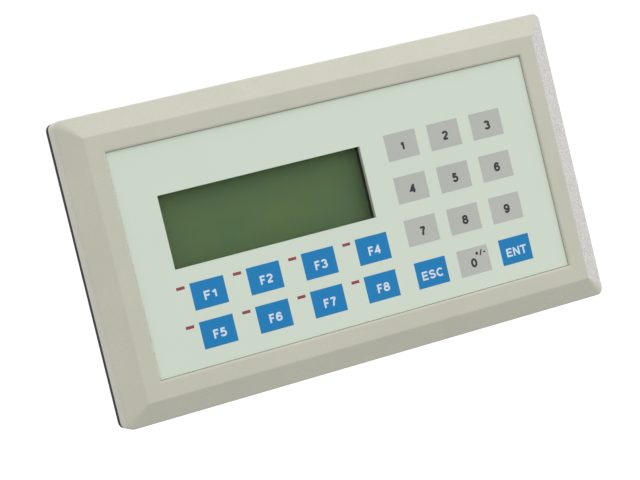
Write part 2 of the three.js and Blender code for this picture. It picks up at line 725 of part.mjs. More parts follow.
// A nine-way socket: body on the board, flange behind the cover, shell through it, with its contact holes.
function serialPort() {
  const flangeFrontY = coverFront - SEAT - PORT_FLANGE_DEPTH;
  const end = coverBack + PORT_SHELL_OUT;
  const body = join([
    block(PORT_BODY_WIDTH, PORT_FLANGE_HEIGHT, mainBoardBack + SEAT, flangeFrontY + PORT_FLANGE_DEPTH / 2),
    block(PORT_FLANGE_WIDTH, PORT_FLANGE_HEIGHT, flangeFrontY, coverFront - SEAT),
    slab(shellOutline(0), flangeFrontY, end),
  ]);
  const contacts = PORT_ROWS.flatMap((count, row) =>
    Array.from({ length: count }, (_, i) =>
      bar(
        PORT_CONTACT_RADIUS,
        coverBack,
        end + 1,
        (i - (count - 1) / 2) * PORT_CONTACT_PITCH,
        (0.5 - row) * PORT_CONTACT_PITCH,
        PORT_CONTACT_RADIUS,
        8,
      ),
    ),
  );
  const jackBores = Object.values(jackOffsets).map((offset) =>
    bar(JACK_STEM_RADIUS + SEAT, flangeFrontY - 1, coverFront + 1, offset, 0),
  );
  return cut(body, [...contacts, ...jackBores]);
}

// A hexagonal jack screw that holds the socket's flange and takes the plug's own screw.
function jackScrew() {
  const front = coverFront;
  const end = coverBack + JACK_OUT;
  const head = bar(JACK_RADIUS, front, end, 0, 0, JACK_RADIUS, 6);
  const stem = bar(JACK_STEM_RADIUS, coverFront - SEAT - PORT_FLANGE_DEPTH - 1, front + 1);
  return head.add(stem).subtract(bar(JACK_STEM_RADIUS, end - JACK_BORE_DEPTH, end + 1));
}

// A screw terminal block: one wire entry and one screw head for each pole.
function powerTerminal() {
  const end = coverBack + TERMINAL_OUT;
  const body = block(terminalWidth, TERMINAL_HEIGHT, mainBoardBack + SEAT, end);
  const entries = [];
  const wells = [];
  for (let pole = 0; pole < TERMINAL_POLES; pole += 1) {
    const x = (pole - (TERMINAL_POLES - 1) / 2) * TERMINAL_PITCH;
    entries.push(block(TERMINAL_ENTRY, TERMINAL_ENTRY, coverBack, end + 1, x, -TERMINAL_HEIGHT / 4));
    wells.push(bar(TERMINAL_ENTRY / 2, end - 1, end + 1, x, TERMINAL_HEIGHT / 4, TERMINAL_ENTRY / 2, 12));
  }
  return cut(body, [...entries, ...wells]);
}

// A flat cable along Y whose ends are shifted apart in Z, with an S between them.
function flatCable(width, front, back, shift) {
  const bend = (back - front) / 2;
  const curve = new THREE.CubicBezierCurve(
    new THREE.Vector2(front, 0),
    new THREE.Vector2(front + bend, 0),
    new THREE.Vector2(back - bend, shift),
    new THREE.Vector2(back, shift),
  );
  const near = [];
  const far = [];
  const steps = 16;
  for (let i = 0; i <= steps; i += 1) {
    const point = curve.getPoint(i / steps);
    const along = curve.getTangent(i / steps);
    const across = new THREE.Vector2(-along.y, along.x).multiplyScalar(CABLE_THICKNESS / 2);
    near.push(point.clone().sub(across));
    far.unshift(point.clone().add(across));
  }
  const geometry = new THREE.ExtrudeGeometry(new THREE.Shape([...near, ...far]), {
    depth: width,
    bevelEnabled: false,
  });
  // The outline is drawn in Y and Z and given its width along X.
  const toPart = new THREE.Matrix4().makeBasis(
    new THREE.Vector3(0, 1, 0),
    new THREE.Vector3(0, 0, 1),
    new THREE.Vector3(1, 0, 0),
  );
  return solidOf(geometry.applyMatrix4(toPart).translate(-width / 2, 0, 0));
}

// ---- Clamps, drawn about the screw's axis with the box below ---------------------------------------------

function clamp() {
  const back = CLAMP_FRONT + CLAMP_DEPTH;
  const stemBottom = -clampHeight / 2 - ROOM - BOX_WALL - ROOM;
  const stemHeight = -stemBottom;
  const lipBottom = stemBottom - CLAMP_LIP_HEIGHT;
  const hookBack = CLAMP_FRONT + CLAMP_HOOK_DEPTH;
  return join([
    block(CLAMP_WIDTH, clampHeight, CLAMP_FRONT, back),
    block(CLAMP_HOOK_WIDTH, stemHeight, CLAMP_FRONT, hookBack, 0, stemBottom / 2),
    block(
      CLAMP_HOOK_WIDTH,
      CLAMP_LIP_HEIGHT,
      CLAMP_FRONT - CLAMP_LIP,
      hookBack,
      0,
      (stemBottom + lipBottom) / 2,
    ),
  ]).subtract(bar(CLAMP_SCREW_RADIUS + FIT, CLAMP_FRONT - 1, back + 1));
}

function clampScrew() {
  const headFront = CLAMP_FRONT + CLAMP_DEPTH + CLAMP_SCREW_TRAVEL + CLAMP_HEAD_ROOM;
  const end = headFront + CLAMP_HEAD_DEPTH;
  return join([
    bar(CLAMP_FOOT_RADIUS, PANEL_ROOM, PANEL_ROOM + CLAMP_FOOT_DEPTH),
    bar(CLAMP_SCREW_RADIUS, PANEL_ROOM + CLAMP_FOOT_DEPTH / 2, headFront + CLAMP_HEAD_DEPTH / 2),
    bar(CLAMP_HEAD_RADIUS, headFront, end),
  ]).subtract(block(2 * CLAMP_HEAD_RADIUS + 1, CLAMP_SLOT_WIDTH, end - CLAMP_SLOT_DEPTH, end + 1));
}

// ---- Assembly --------------------------------------------------------------------------------------------

place("front_bezel", frontFrame(), FINISHES.frame);
place("overlay", film(), FINISHES.film);
place("gasket", gasket(), FINISHES.rubber);

for (const { name, x, z, finish: keyFinish } of keys) {
  place(`key_${name}`, key(), keyFinish, x, 0, z);
}
for (const { name, x, z } of lamps) {
  place(`light_pipe_${name}`, lightPipe(), FINISHES.lamp, x, 0, z);
}
place("dome_sheet", domeSheet(), FINISHES.domes);
place("keypad_board", keypadBoard(), FINISHES.board);

const display = new THREE.Group();
display.position.set(windowX, 0, windowZ);
panel.add(display);
place("window_pane", windowPane(), FINISHES.pane, 0, 0, 0, display);
place("lcd_frame", displayFrame(), FINISHES.steel, 0, 0, 0, display);
place("lcd_glass", displayLayer(glassFront, glassBack), FINISHES.glass, 0, 0, 0, display);
place("lcd_backlight", displayLayer(backlightFront, backlightBack), FINISHES.backlight, 0, 0, 0, display);
place("lcd_board", displayBoard(), FINISHES.board, 0, 0, 0, display);

const keypadCable = flatCable(
  KEYPAD_CABLE_WIDTH,
  keypadBack + SEAT,
  mainBoardFront - SEAT,
  CABLE_SHIFT,
);
place("keypad_cable", keypadCable, FINISHES.cable, numbersLeft + numberPitchX - centreX, 0, 0);
const displayCable = flatCable(
  DISPLAY_CABLE_WIDTH,
  displayBoardBack + SEAT,
  mainBoardFront - SEAT,
  -CABLE_SHIFT,
);
place("lcd_cable", displayCable, FINISHES.cable, windowX, 0, windowZ + WINDOW_HEIGHT / 2);

place("main_board", block(mainBoardWidth, mainBoardHeight, mainBoardFront, mainBoardBack), FINISHES.board);
const processor = block(PROCESSOR_SIZE, PROCESSOR_SIZE, -PROCESSOR_DEPTH, 0);
place("processor", processor, FINISHES.chip, 0, mainBoardFront - SEAT, CONNECTOR_Z);

place("rear_housing", box(), FINISHES.housing);
place("rear_cover", cover(), FINISHES.cover);
place("serial_port", serialPort(), FINISHES.steel, PORT_X, 0, CONNECTOR_Z);
for (const [name, offset] of Object.entries(jackOffsets)) {
  place(name, jackScrew(), FINISHES.screw, PORT_X + offset, 0, CONNECTOR_Z);
}
place("power_terminal", powerTerminal(), FINISHES.connector, TERMINAL_X, 0, CONNECTOR_Z);
for (const { name, x, z } of tubes) {
  place(`housing_screw_${name}`, coverScrew(), FINISHES.screw, x, 0, z);
}

for (const { name, x, up } of clamps) {
  const side = new THREE.Group();
  side.position.set(x, 0, up * clampZ);
  side.rotation.y = up > 0 ? 0 : Math.PI;
  panel.add(side);
  place(`clamp_${name}`, clamp(), FINISHES.steel, 0, 0, 0, side);
  place(`clamp_screw_${name}`, clampScrew(), FINISHES.screw, 0, 0, 0, side);
}

export default panel;
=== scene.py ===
"""Looks of a cabinet-mounted operator panel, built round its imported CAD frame.

Sizes in the classes below are in millimetres and places are read from the frame. Every mesh is made in
metres in the part's own axes: +X to the operator's right, +Z up, and the face looking along -Y.
"""

from __future__ import annotations

import logging
import math
from dataclasses import dataclass, field
from enum import Enum
from typing import Callable, Iterable, Sequence

import bmesh
import bpy
from mathutils import Matrix, Vector

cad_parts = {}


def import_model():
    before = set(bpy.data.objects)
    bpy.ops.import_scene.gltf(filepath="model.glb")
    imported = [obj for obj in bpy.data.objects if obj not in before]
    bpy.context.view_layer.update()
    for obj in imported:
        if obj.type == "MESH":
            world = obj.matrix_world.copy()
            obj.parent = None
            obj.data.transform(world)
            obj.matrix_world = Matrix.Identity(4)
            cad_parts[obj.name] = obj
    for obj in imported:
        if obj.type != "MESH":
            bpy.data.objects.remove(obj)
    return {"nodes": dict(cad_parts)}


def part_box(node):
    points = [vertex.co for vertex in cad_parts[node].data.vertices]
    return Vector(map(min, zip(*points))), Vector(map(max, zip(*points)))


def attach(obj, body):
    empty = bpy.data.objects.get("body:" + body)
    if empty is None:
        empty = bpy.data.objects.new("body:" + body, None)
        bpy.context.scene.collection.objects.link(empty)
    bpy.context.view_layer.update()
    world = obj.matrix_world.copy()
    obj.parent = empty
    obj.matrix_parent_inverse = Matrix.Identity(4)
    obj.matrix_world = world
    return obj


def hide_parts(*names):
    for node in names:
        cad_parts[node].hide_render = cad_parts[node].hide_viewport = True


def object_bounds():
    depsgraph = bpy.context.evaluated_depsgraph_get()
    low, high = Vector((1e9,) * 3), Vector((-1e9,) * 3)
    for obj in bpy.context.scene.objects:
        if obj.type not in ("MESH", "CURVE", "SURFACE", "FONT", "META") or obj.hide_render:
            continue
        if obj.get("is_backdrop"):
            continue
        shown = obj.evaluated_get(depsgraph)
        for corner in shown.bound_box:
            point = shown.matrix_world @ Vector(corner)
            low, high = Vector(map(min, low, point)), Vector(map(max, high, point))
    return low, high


LOG = logging.getLogger("operator_panel")
MM = 0.001
PAST = 1  # How far a cutting tool runs past what it cuts, in millimetres.
ROOT_BODY = "panel"

Point = tuple[float, float]
Spot = tuple[float, float, float]
Colour = tuple[float, float, float]


def linear(red: int, green: int, blue: int) -> Colour:
    """Turn a paint-chip colour into the linear values that a shader takes.

    Args:
        red: Red, from 0 to 255.
        green: Green, from 0 to 255.
        blue: Blue, from 0 to 255.

    Returns:
        The three linear values, from 0 to 1.
    """

    def one(value: int) -> float:
        """Turn one channel."""
        share = value / 255
        return share / 12.92 if share <= 0.04045 else ((share + 0.055) / 1.055) ** 2.4

    return one(red), one(green), one(blue)


# ---- Finishes ---------------------------------------------------------------------------------------------


class Sheet:
    """A material's node tree, with short ways to add and join its nodes."""

    def __init__(self, name: str) -> None:
        """Start a material that holds one shader.

        Args:
            name: The material's name.
        """
        self.material = bpy.data.materials.new(name)
        self.material.use_nodes = True
        self.nodes = self.material.node_tree.nodes
        self.links = self.material.node_tree.links
        self.shader = self.nodes["Principled BSDF"]
        self.place = self.nodes.new("ShaderNodeTexCoord").outputs["Object"]

    def set(self, **sockets: float | tuple) -> None:
        """Set the shader's own sockets, named with _ for a space."""
        for name, value in sockets.items():
            self.shader.inputs[name.replace("_", " ")].default_value = value

    def node(self, kind: str, **sockets: object) -> bpy.types.Node:
        """Add a node and fill or join its sockets.

        Args:
            kind: The node's type, without ShaderNode.
            **sockets: Values, or outputs of other nodes, by socket name with _ for a space.

        Returns:
            The new node.
        """
        made = self.nodes.new("ShaderNode" + kind)
        for name, value in sockets.items():
            self.fill(made.inputs[name.replace("_", " ")], value)
        return made

    def fill(self, socket: bpy.types.NodeSocket, value: object) -> None:
        """Join a socket to another node's output, or give it a plain value.

        Args:
            socket: The socket to fill.
            value: The output or the plain value.
        """
        if isinstance(value, bpy.types.NodeSocket):
            self.links.new(value, socket)
        else:
            socket.default_value = value

    def scaled(self, per_mm: Spot) -> bpy.types.NodeSocket:
        """Stretch the object's place.

        Args:
            per_mm: How many units a millimetre takes along X, Y and Z.

        Returns:
            The stretched place's socket.
        """
        mapping = self.node("Mapping", Vector=self.place)
        mapping.inputs["Scale"].default_value = [value / MM for value in per_mm]
        return mapping.outputs["Vector"]

    def noise(self, size_mm: float, detail: float = 3.0, rough: float = 0.6) -> bpy.types.NodeSocket:
        """Add noise.

        Args:
            size_mm: About how many millimetres across its blotches are.
            detail: How many finer layers it has.
            rough: How strong the finer layers are.

        Returns:
            The noise's socket.
        """
        place = self.scaled((1 / size_mm,) * 3)
        return self.node("TexNoise", Vector=place, Scale=1.0, Detail=detail, Roughness=rough).outputs["Fac"]

    def facing(self, axis: int) -> bpy.types.NodeSocket:
        """Return how far the surface faces along one axis of the object, from -1 to 1."""
        normal = self.node("TexCoord").outputs["Normal"]
        return self.node("SeparateXYZ", Vector=normal).outputs[axis]

    def ramp(self, value: bpy.types.NodeSocket, low: float, high: float, start: float = 0.3,
             end: float = 0.7) -> bpy.types.NodeSocket:
        """Map a value onto a range.

        Args:
            value: The value to map.
            low: The result at start.
            high: The result at end.
            start: The value that gives low.
            end: The value that gives high.

        Returns:
            The mapped value's socket.
        """
        made = self.node("MapRange", Value=value)
        for name, number in (("From Min", start), ("From Max", end), ("To Min", low), ("To Max", high)):
            made.inputs[name].default_value = number
        return made.outputs["Result"]

    def maths(self, operation: str, first: object, second: object = 0.0) -> bpy.types.NodeSocket:
        """Join two values with a math operation.

        Args:
            operation: One of Blender's math operations.
            first: A number or a socket.
            second: A number or a socket.

        Returns:
            The result's socket.
        """
        made = self.nodes.new("ShaderNodeMath")
        made.operation = operation
        for socket, value in zip(made.inputs, (first, second)):
            self.fill(socket, value)
        return made.outputs[0]

    def mix(self, share: bpy.types.NodeSocket, first: object, second: object) -> bpy.types.NodeSocket:
        """Mix two colours.

        Args:
            share: How much of the second colour there is.
            first: A colour or a socket.
            second: A colour or a socket.

        Returns:
            The mixed colour's socket.
        """
        made = self.nodes.new("ShaderNodeMix")
        made.data_type = "RGBA"
        self.links.new(share, made.inputs["Factor"])
        for socket, value in ((made.inputs[6], first), (made.inputs[7], second)):
            self.fill(socket, value if isinstance(value, bpy.types.NodeSocket) else (*value, 1.0))
        return made.outputs[2]

    def colour(self, value: bpy.types.NodeSocket) -> None:
        """Give the shader a varying base colour."""
        self.links.new(value, self.shader.inputs["Base Color"])

    def roughness(self, value: bpy.types.NodeSocket) -> None:
        """Give the shader a varying roughness."""
        self.links.new(value, self.shader.inputs["Roughness"])

    def bump(self, *layers: tuple[bpy.types.NodeSocket, float, float]) -> None:
        """Stack bumps on the shader.

        Args:
            *layers: For each one its height, its depth in millimetres and its strength.
        """
        below = None
        for height, depth, strength in layers:
            made = self.node("Bump", Height=height, Strength=strength)
            made.inputs["Distance"].default_value = depth * MM
            if below is not None:
                self.links.new(below, made.inputs["Normal"])
            below = made.outputs["Normal"]
        self.links.new(below, self.shader.inputs["Normal"])


@dataclass(frozen=True)
class Finish:
    """One finish: a colour with a slightly different shade drifting through it.

    Attributes:
        slot: The record's material slot that it belongs to; not used.
        base: The main colour.
        drift: The colour of the blotches.
        rough: Its roughness.
    """

    slot: str
    base: Colour
    drift: Colour
    rough: float

    def material(self, name: str) -> bpy.types.Material:
        """Return the finish's material, made once.

        Args:
            name: The material's name.

        Returns:
            The material.
        """
        found = bpy.data.materials.get(name)
        if found:
            return found
        sheet = Sheet(name)
        sheet.set(Roughness=self.rough, Base_Color=(*self.base, 1.0))
        self.dress(sheet)
        return sheet.material

    def dress(self, sheet: Sheet) -> None:
        """Fill the node tree.

        Args:
            sheet: The material to fill.
        """
        sheet.colour(sheet.mix(sheet.ramp(sheet.noise(14), 0, 1), self.base, self.drift))


@dataclass(frozen=True)
class MouldedPlastic(Finish):
    """Plastic from a spark-eroded mould, with a fine pebbled skin, painted shade in the pebbles' pits and
    painted glints on its right-hand slopes.

    Attributes:
        pebble: Size of a pebble in millimetres.
        speckle: How far the pebbles' pits darken the colour, as painted shade.
        depth: Depth of the pebbles in millimetres.
        slope: Colour painted on the right-hand slopes, a painted tint of the violet side light.
        glitter: How far the pebbles of the right-hand slopes lighten and darken that colour, as painted
            glints.
    """

    pebble: float = 0.42
    speckle: float = 0.05
    depth: float = 0.03
    slope: Colour = (0.0, 0.0, 0.0)
    glitter: float = 0.0

    def dress(self, sheet: Sheet) -> None:
        """Add blotches, pebbles, painted shade in the pebbles' pits and, on right-hand slopes, painted
        glints.

        Args:
            sheet: The material to fill.
        """
        cells = sheet.noise(self.pebble, 2.0, 0.55)
        fine = sheet.noise(self.pebble / 3, 1.0)
        blotches = sheet.mix(sheet.ramp(sheet.noise(22, 2.0), 0, 1), self.base, self.drift)
        # Painted shade: the colour is darkened in the pebbles' pits, where the bump is lowest.
        dark = tuple(channel * (1 - 2 * self.speckle) for channel in self.drift)
        painted_light_grains = sheet.ramp(cells, 0.55, 0.0, 0.35, 0.6)
        skin = sheet.mix(painted_light_grains, blotches, dark)
        # Painted light: slopes facing right get a painted violet tint of the side light, and their pebbles
        # are lightened and darkened into painted glints.
        if self.glitter:
            facing = sheet.facing(0)
            rising, falling = sheet.ramp(facing, 0, 1, 0.3, 0.5), sheet.ramp(facing, 1, 0, 0.75, 0.97)
            slope = sheet.maths("MULTIPLY", rising, falling)
            dull = tuple(channel * (1 - self.glitter) for channel in self.slope)
            bright = tuple(channel * (1 + self.glitter) for channel in self.slope)
            painted_light_grains = sheet.ramp(sheet.noise(0.85 * self.pebble, 1.0, 0.5), 0, 1, 0.36, 0.64)
            painted_glint_colour = sheet.mix(painted_light_grains, dull, bright)
            skin = sheet.mix(slope, skin, painted_glint_colour)
        sheet.colour(skin)
        sheet.roughness(sheet.ramp(fine, self.rough - 0.08, self.rough + 0.08))
        sheet.bump((cells, self.depth, 1.0), (fine, self.depth / 3, 0.6))


@dataclass(frozen=True)
class PrintedFilm(Finish):
    """Polyester film printed from behind, with a very fine satin surface.

    Attributes:
        satin: Depth of the satin grain in millimetres.
        shine: How strongly its surface reflects.
    """

    satin: float = 0.004
    shine: float = 0.5

    def dress(self, sheet: Sheet) -> None:
        """Add a slight drift in the ink and the satin grain.

        Args:
            sheet: The material to fill.
        """
        sheet.set(Specular_IOR_Level=self.shine)
        drift = sheet.ramp(sheet.noise(30, 2.0, 0.5), 0, 1)
        sheet.colour(sheet.mix(drift, self.base, self.drift))
        grain = sheet.noise(0.12, 2.0)
        sheet.roughness(sheet.ramp(sheet.noise(5), self.rough - 0.04, self.rough + 0.04))
        sheet.bump((grain, self.satin, 0.6))


@dataclass(frozen=True)
class Ink(Finish):
    """Printed ink of a legend."""

    def dress(self, sheet: Sheet) -> None:
        """Add the slight unevenness of screen printing."""
        sheet.colour(sheet.mix(sheet.ramp(sheet.noise(0.8, 2.0), 0, 1), self.base, self.drift))
        sheet.bump((sheet.noise(0.15, 2.0), 0.002, 0.5))


@dataclass(frozen=True)
class LampWindow(Finish):
    """Tinted clear plastic with no light behind it."""

    def dress(self, sheet: Sheet) -> None:
        """Add blotches of a slightly darker tint and a little clear coat.

        Args:
            sheet: The material to fill.
        """
        sheet.set(Coat_Weight=0.3, Coat_Roughness=0.2)
        sheet.colour(sheet.mix(sheet.ramp(sheet.noise(1.5, 2.0), 0, 1), self.base, self.drift))
        sheet.bump((sheet.noise(0.3, 2.0), 0.004, 0.5))


@dataclass(frozen=True)
class ClearPane(Finish):
    """Clear pane with an anti-glare skin."""

    def dress(self, sheet: Sheet) -> None:
        """Let nearly all light through and keep a soft gloss.

        Args:
            sheet: The material to fill.
        """
        sheet.set(Alpha=0.04, Specular_IOR_Level=0.15)
        sheet.colour(sheet.mix(sheet.ramp(sheet.noise(9), 0, 1), self.base, self.drift))
        sheet.bump((sheet.noise(0.1, 2.0), 0.002, 0.5))


@dataclass(frozen=True)
class DisplayGreen(Finish):
    """Reflective green display glass with the faint cells of four lines of twenty characters.

    Attributes:
        cell: Width and height of one character.
        pitch: Distance between characters along a line and between lines.
        lines: How many characters in a line, and how many lines.
        cell_shade: How much darker a cell is than the ground.
    """

    cell: Point = (2.95, 4.75)
    pitch: Point = (3.55, 5.35)
    lines: tuple[int, int] = (20, 4)
    cell_shade: float = 0.06

    def band(self, sheet: Sheet, along: bpy.types.NodeSocket, axis: int) -> bpy.types.NodeSocket:
        """Return 1 inside a cell and 0 between cells, along one axis.

        Args:
            sheet: The material.
            along: The place along the axis, in metres.
            axis: 0 for X and 1 for Z.

        Returns:
            The mask's socket.
        """
        pitch, count = self.pitch[axis], self.lines[axis]
        offset = (count * pitch / 2 - Extent.of("window_pane").middle[axis]) * MM
        steps = sheet.maths("DIVIDE", sheet.maths("ADD", along, offset), pitch * MM)
        part = sheet.maths("FRACT", steps)
        half = self.cell[axis] / pitch / 2
        inside = sheet.maths("LESS_THAN", sheet.maths("ABSOLUTE", sheet.maths("SUBTRACT", part, 0.5)), half)
        started = sheet.maths("GREATER_THAN", steps, 0.0)
        ended = sheet.maths("LESS_THAN", steps, float(count))
        return sheet.maths("MULTIPLY", inside, sheet.maths("MULTIPLY", started, ended))

    def dress(self, sheet: Sheet) -> None:
        """Add the cells, a slow drift of tint and a soft polariser sheen.

        Args:
            sheet: The material to fill.
        """
        sheet.set(Specular_IOR_Level=0.2)
        split = sheet.node("SeparateXYZ", Vector=sheet.place)
        across = self.band(sheet, split.outputs["X"], 0)
        down = self.band(sheet, split.outputs["Z"], 1)
        cells = sheet.maths("MULTIPLY", sheet.maths("MULTIPLY", across, down), self.cell_shade)
        ground = sheet.mix(sheet.ramp(sheet.noise(18, 2.0), 0, 1), self.base, self.drift)
        dark = tuple(channel * 0.4 for channel in self.base)
        sheet.colour(sheet.mix(cells, ground, dark))
        sheet.bump((sheet.noise(0.25, 2.0), 0.003, 0.4))


@dataclass(frozen=True)
class Metal(Finish):
    """Plated sheet or turned metal with a fine grain along one axis.

    Attributes:
        grain: How many grain lines cross a millimetre along X, Y and Z.
        depth: Depth of the grain in millimetres.
    """

    grain: Spot = (0.4, 0.4, 8.0)
    depth: float = 0.004

    def dress(self, sheet: Sheet) -> None:
        """Add the grain and blotches of plating.

        Args:
            sheet: The material to fill.
        """
        sheet.set(Metallic=1.0)
        lines = sheet.node("TexNoise", Vector=sheet.scaled(self.grain), Scale=1.0, Detail=3.0)
        clouds = sheet.ramp(sheet.noise(6, 4.0), 0, 1)
        sheet.colour(sheet.mix(clouds, self.base, self.drift))
        sheet.roughness(sheet.ramp(lines.outputs["Fac"], self.rough - 0.08, self.rough + 0.12))
        sheet.bump((lines.outputs["Fac"], self.depth, 0.7))


@dataclass(frozen=True)
class FoamRubber(Finish):
    """Black closed-cell foam with small pores."""

    def dress(self, sheet: Sheet) -> None:
        """Add the pores and a dusty bloom.

        Args:
            sheet: The material to fill.
        """
        step = 1 / 0.35
        pores = sheet.node("TexVoronoi", Vector=sheet.scaled((step, step, step)), Scale=1.0)
        sheet.colour(sheet.mix(sheet.ramp(sheet.noise(4), 0, 1), self.base, self.drift))
        sheet.bump((pores.outputs["Distance"], 0.06, 0.8))


@dataclass(frozen=True)
class CircuitBoard(Finish):
    """Solder mask over copper: tracks show as slightly lighter, raised lines.

    Attributes:
        copper: Colour of the mask over copper.
    """

    copper: Colour = (0.05, 0.2, 0.1)

    def dress(self, sheet: Sheet) -> None:
        """Add tracks and pads.

        Args:
            sheet: The material to fill.
        """
        sheet.set(Coat_Weight=0.4, Coat_Roughness=0.15)
        step = 1 / 2.6
        cells = sheet.node("TexVoronoi", Vector=sheet.scaled((step, step, step)), Scale=1.0)
        cells.distance = "MANHATTAN"
        tracks = sheet.ramp(sheet.maths("PINGPONG", cells.outputs["Distance"], 0.2), 0, 1, 0.08, 0.1)
        ground = sheet.mix(sheet.ramp(sheet.noise(10), 0, 1), self.base, self.drift)
        sheet.colour(sheet.mix(tracks, ground, self.copper))
        sheet.bump((tracks, 0.03, 0.6))


@dataclass(frozen=True)
class RibbonCable(Finish):
    """Flat cable with its side-by-side wires."""

    def dress(self, sheet: Sheet) -> None:
        """Add a ridge for each wire, with painted shade in the grooves between the wires.

        Args:
            sheet: The material to fill.
        """
        split = sheet.node("SeparateXYZ", Vector=sheet.scaled((1 / 1.27, 1, 1)))
        ridge = sheet.maths("PINGPONG", split.outputs["X"], 0.5)
        # Painted shade: the colour turns to the darker drift colour in the grooves between the wires.
        sheet.colour(sheet.mix(sheet.ramp(ridge, 0, 1, 0.0, 0.25), self.drift, self.base))
        sheet.bump((ridge, 0.2, 0.8))


class Palette(Enum):
    """Every finish that the panel's pieces wear."""

    BEZEL = MouldedPlastic(
        slot="bezel_plastic",
        base=linear(192, 192, 177),
        drift=linear(187, 187, 172),
        rough=0.4,
        pebble=0.45,
        # Painted shade in the pebbles' pits.
        speckle=0.03,
        depth=0.1,
        # Painted light: a violet-tinted colour and painted glints on the right-hand slopes.
        slope=linear(190, 189, 183),
        glitter=0.24,
    )
    FILM = PrintedFilm("overlay_film", linear(203, 214, 199), linear(200, 212, 197), 0.45)
    BLUE_KEY = PrintedFilm("blue_key", (0.002, 0.19, 0.455), (0.001, 0.18, 0.44), 0.5, 0.004, 0.3)
    GREY_KEY = PrintedFilm("grey_key", linear(178, 180, 173), linear(173, 176, 169), 0.45)
    WHITE_INK = Ink("blue_key", linear(205, 217, 226), linear(198, 211, 221), 0.5)
    DARK_INK = Ink("grey_key", linear(30, 32, 36), linear(40, 42, 46), 0.5)
    LAMP = LampWindow("lamp_red", linear(142, 44, 58), linear(138, 40, 54), 0.35)
    DISPLAY = DisplayGreen("lcd_green", (0.076, 0.14, 0.03), (0.062, 0.132, 0.042), 0.4)
    PANE = ClearPane("clear_pane", linear(200, 215, 200), linear(190, 205, 190), 0.3)
    DISPLAY_STEEL = Metal("display_steel", linear(46, 46, 48), linear(38, 38, 40), 0.5)
    LIGHT_GUIDE = Finish("light_guide", linear(226, 228, 212), linear(218, 221, 205), 0.3)
    DOMES = PrintedFilm("dome_film", linear(214, 216, 203), linear(206, 208, 196), 0.35)
    BOARD = CircuitBoard("circuit_board", linear(26, 78, 50), linear(22, 68, 44), 0.35)
    # The darker second colour is painted shade for the grooves between the wires.
    CABLE = RibbonCable("flat_cable", linear(188, 188, 183), linear(160, 160, 156), 0.45)
    CHIP = MouldedPlastic("chip_black", linear(36, 36, 38), linear(30, 30, 32), 0.5, 0.2, 0.01)
    GASKET = FoamRubber("gasket_rubber", linear(26, 24, 28), linear(36, 34, 38), 0.85)
    HOUSING = MouldedPlastic("housing_plastic", linear(66, 68, 71), linear(60, 62, 65), 0.6, 0.5, 0.03)
    COVER = Metal("cover_steel", linear(186, 189, 190), linear(172, 176, 178), 0.32, (0.15, 4.0, 7.0))
    SHELL = Metal("connector_shell", linear(200, 201, 202), linear(186, 187, 190), 0.25)
    SCREW = Metal("bright_screw", linear(206, 208, 208), linear(190, 192, 194), 0.25, (3.0, 0.5, 3.0))
    CLAMP = Metal("clamp_steel", linear(178, 181, 184), linear(164, 168, 172), 0.35, (0.5, 6.0, 0.5))
    TERMINAL = MouldedPlastic("terminal_green", linear(52, 128, 78), linear(46, 118, 70), 0.45, 0.3, 0.012)
    SOCKET_BLACK = MouldedPlastic("connector_shell", linear(28, 28, 30), linear(36, 36, 38), 0.5, 0.25, 0.01)
    CONTACT = Metal("bright_screw", linear(214, 178, 96), linear(198, 160, 80), 0.25)

    def material(self) -> bpy.types.Material:
        """Return this finish's material, made once."""
        return self.value.material(f"{self.name.lower()}_finish")


# ---- Places and shapes ------------------------------------------------------------------------------------


@dataclass(frozen=True)
class Extent:
    """A CAD node's box at rest, in millimetres.

    Attributes:
        low: Its lowest corner.
        high: Its highest corner.
    """

    low: Spot
    high: Spot

    @classmethod
    def of(cls, node: str) -> "Extent":
        """Read a node's box from the frame."""
        low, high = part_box(node)
        return cls(tuple(value / MM for value in low), tuple(value / MM for value in high))

    @property
    def width(self) -> float:
        """Size along X."""
        return self.high[0] - self.low[0]

    @property
    def height(self) -> float:
        """Size along Z."""
        return self.high[2] - self.low[2]

    @property
    def front(self) -> float:
        """Depth of its foremost face."""
        return self.low[1]

    @property
    def back(self) -> float:
        """Depth of its rearmost face."""
        return self.high[1]

    @property
    def middle(self) -> Point:
        """Its centre in X and Z."""
        return (self.low[0] + self.high[0]) / 2, (self.low[2] + self.high[2]) / 2


def rectangle(width: float, height: float, middle: Point = (0, 0), radius: float = 0.0,
              steps: int = 5) -> list[Point]:
    """Draw a rectangle, with round corners if it has a radius.

    Args:
        width: Size along X.
        height: Size along Z.
        middle: Its centre.
        radius: Corner radius.
        steps: Segments in a round corner.

    Returns:
        Its corners, counter-clockwise.
    """
    right, top = width / 2 - radius, height / 2 - radius
    centres = ((right, top), (-right, top), (-right, -top), (right, -top))
    points = []
    for quarter, (x, z) in enumerate(centres):
        for step in range(steps + 1 if radius else 1):
            angle = math.radians(90 * (quarter + step / steps))
            along, up = radius * math.cos(angle), radius * math.sin(angle)
            points.append((middle[0] + x + along, middle[1] + z + up))
    return points


def circle(radius: float, middle: Point = (0, 0), steps: int = 32, start: float = 0.0) -> list[Point]:
    """Draw a circle, or a polygon when it has few steps."""
    turns = [math.tau * step / steps + start for step in range(steps)]
    return [(middle[0] + radius * math.cos(turn), middle[1] + radius * math.sin(turn)) for turn in turns]


def eased(points: Sequence[Sequence[float]], radii: Sequence[float], steps: int = 4) -> list[Vector]:
    """Round the corners of an open line.

    Args:
        points: The line's corners.
        radii: How far from each corner its rounding starts, 0 for a sharp one.
        steps: Segments in each rounding.

    Returns:
        The rounded line.
    """
    corners = [Vector(point) for point in points]
    line = []
    for index, (corner, reach) in enumerate(zip(corners, radii)):
        if not reach or index in (0, len(corners) - 1):
            line.append(corner)
            continue
        start = corner + (corners[index - 1] - corner).normalized() * reach
        end = corner + (corners[index + 1] - corner).normalized() * reach
        for step in range(steps + 1):
            share = step / steps
            line.append(start.lerp(corner, share).lerp(corner.lerp(end, share), share))
    return line


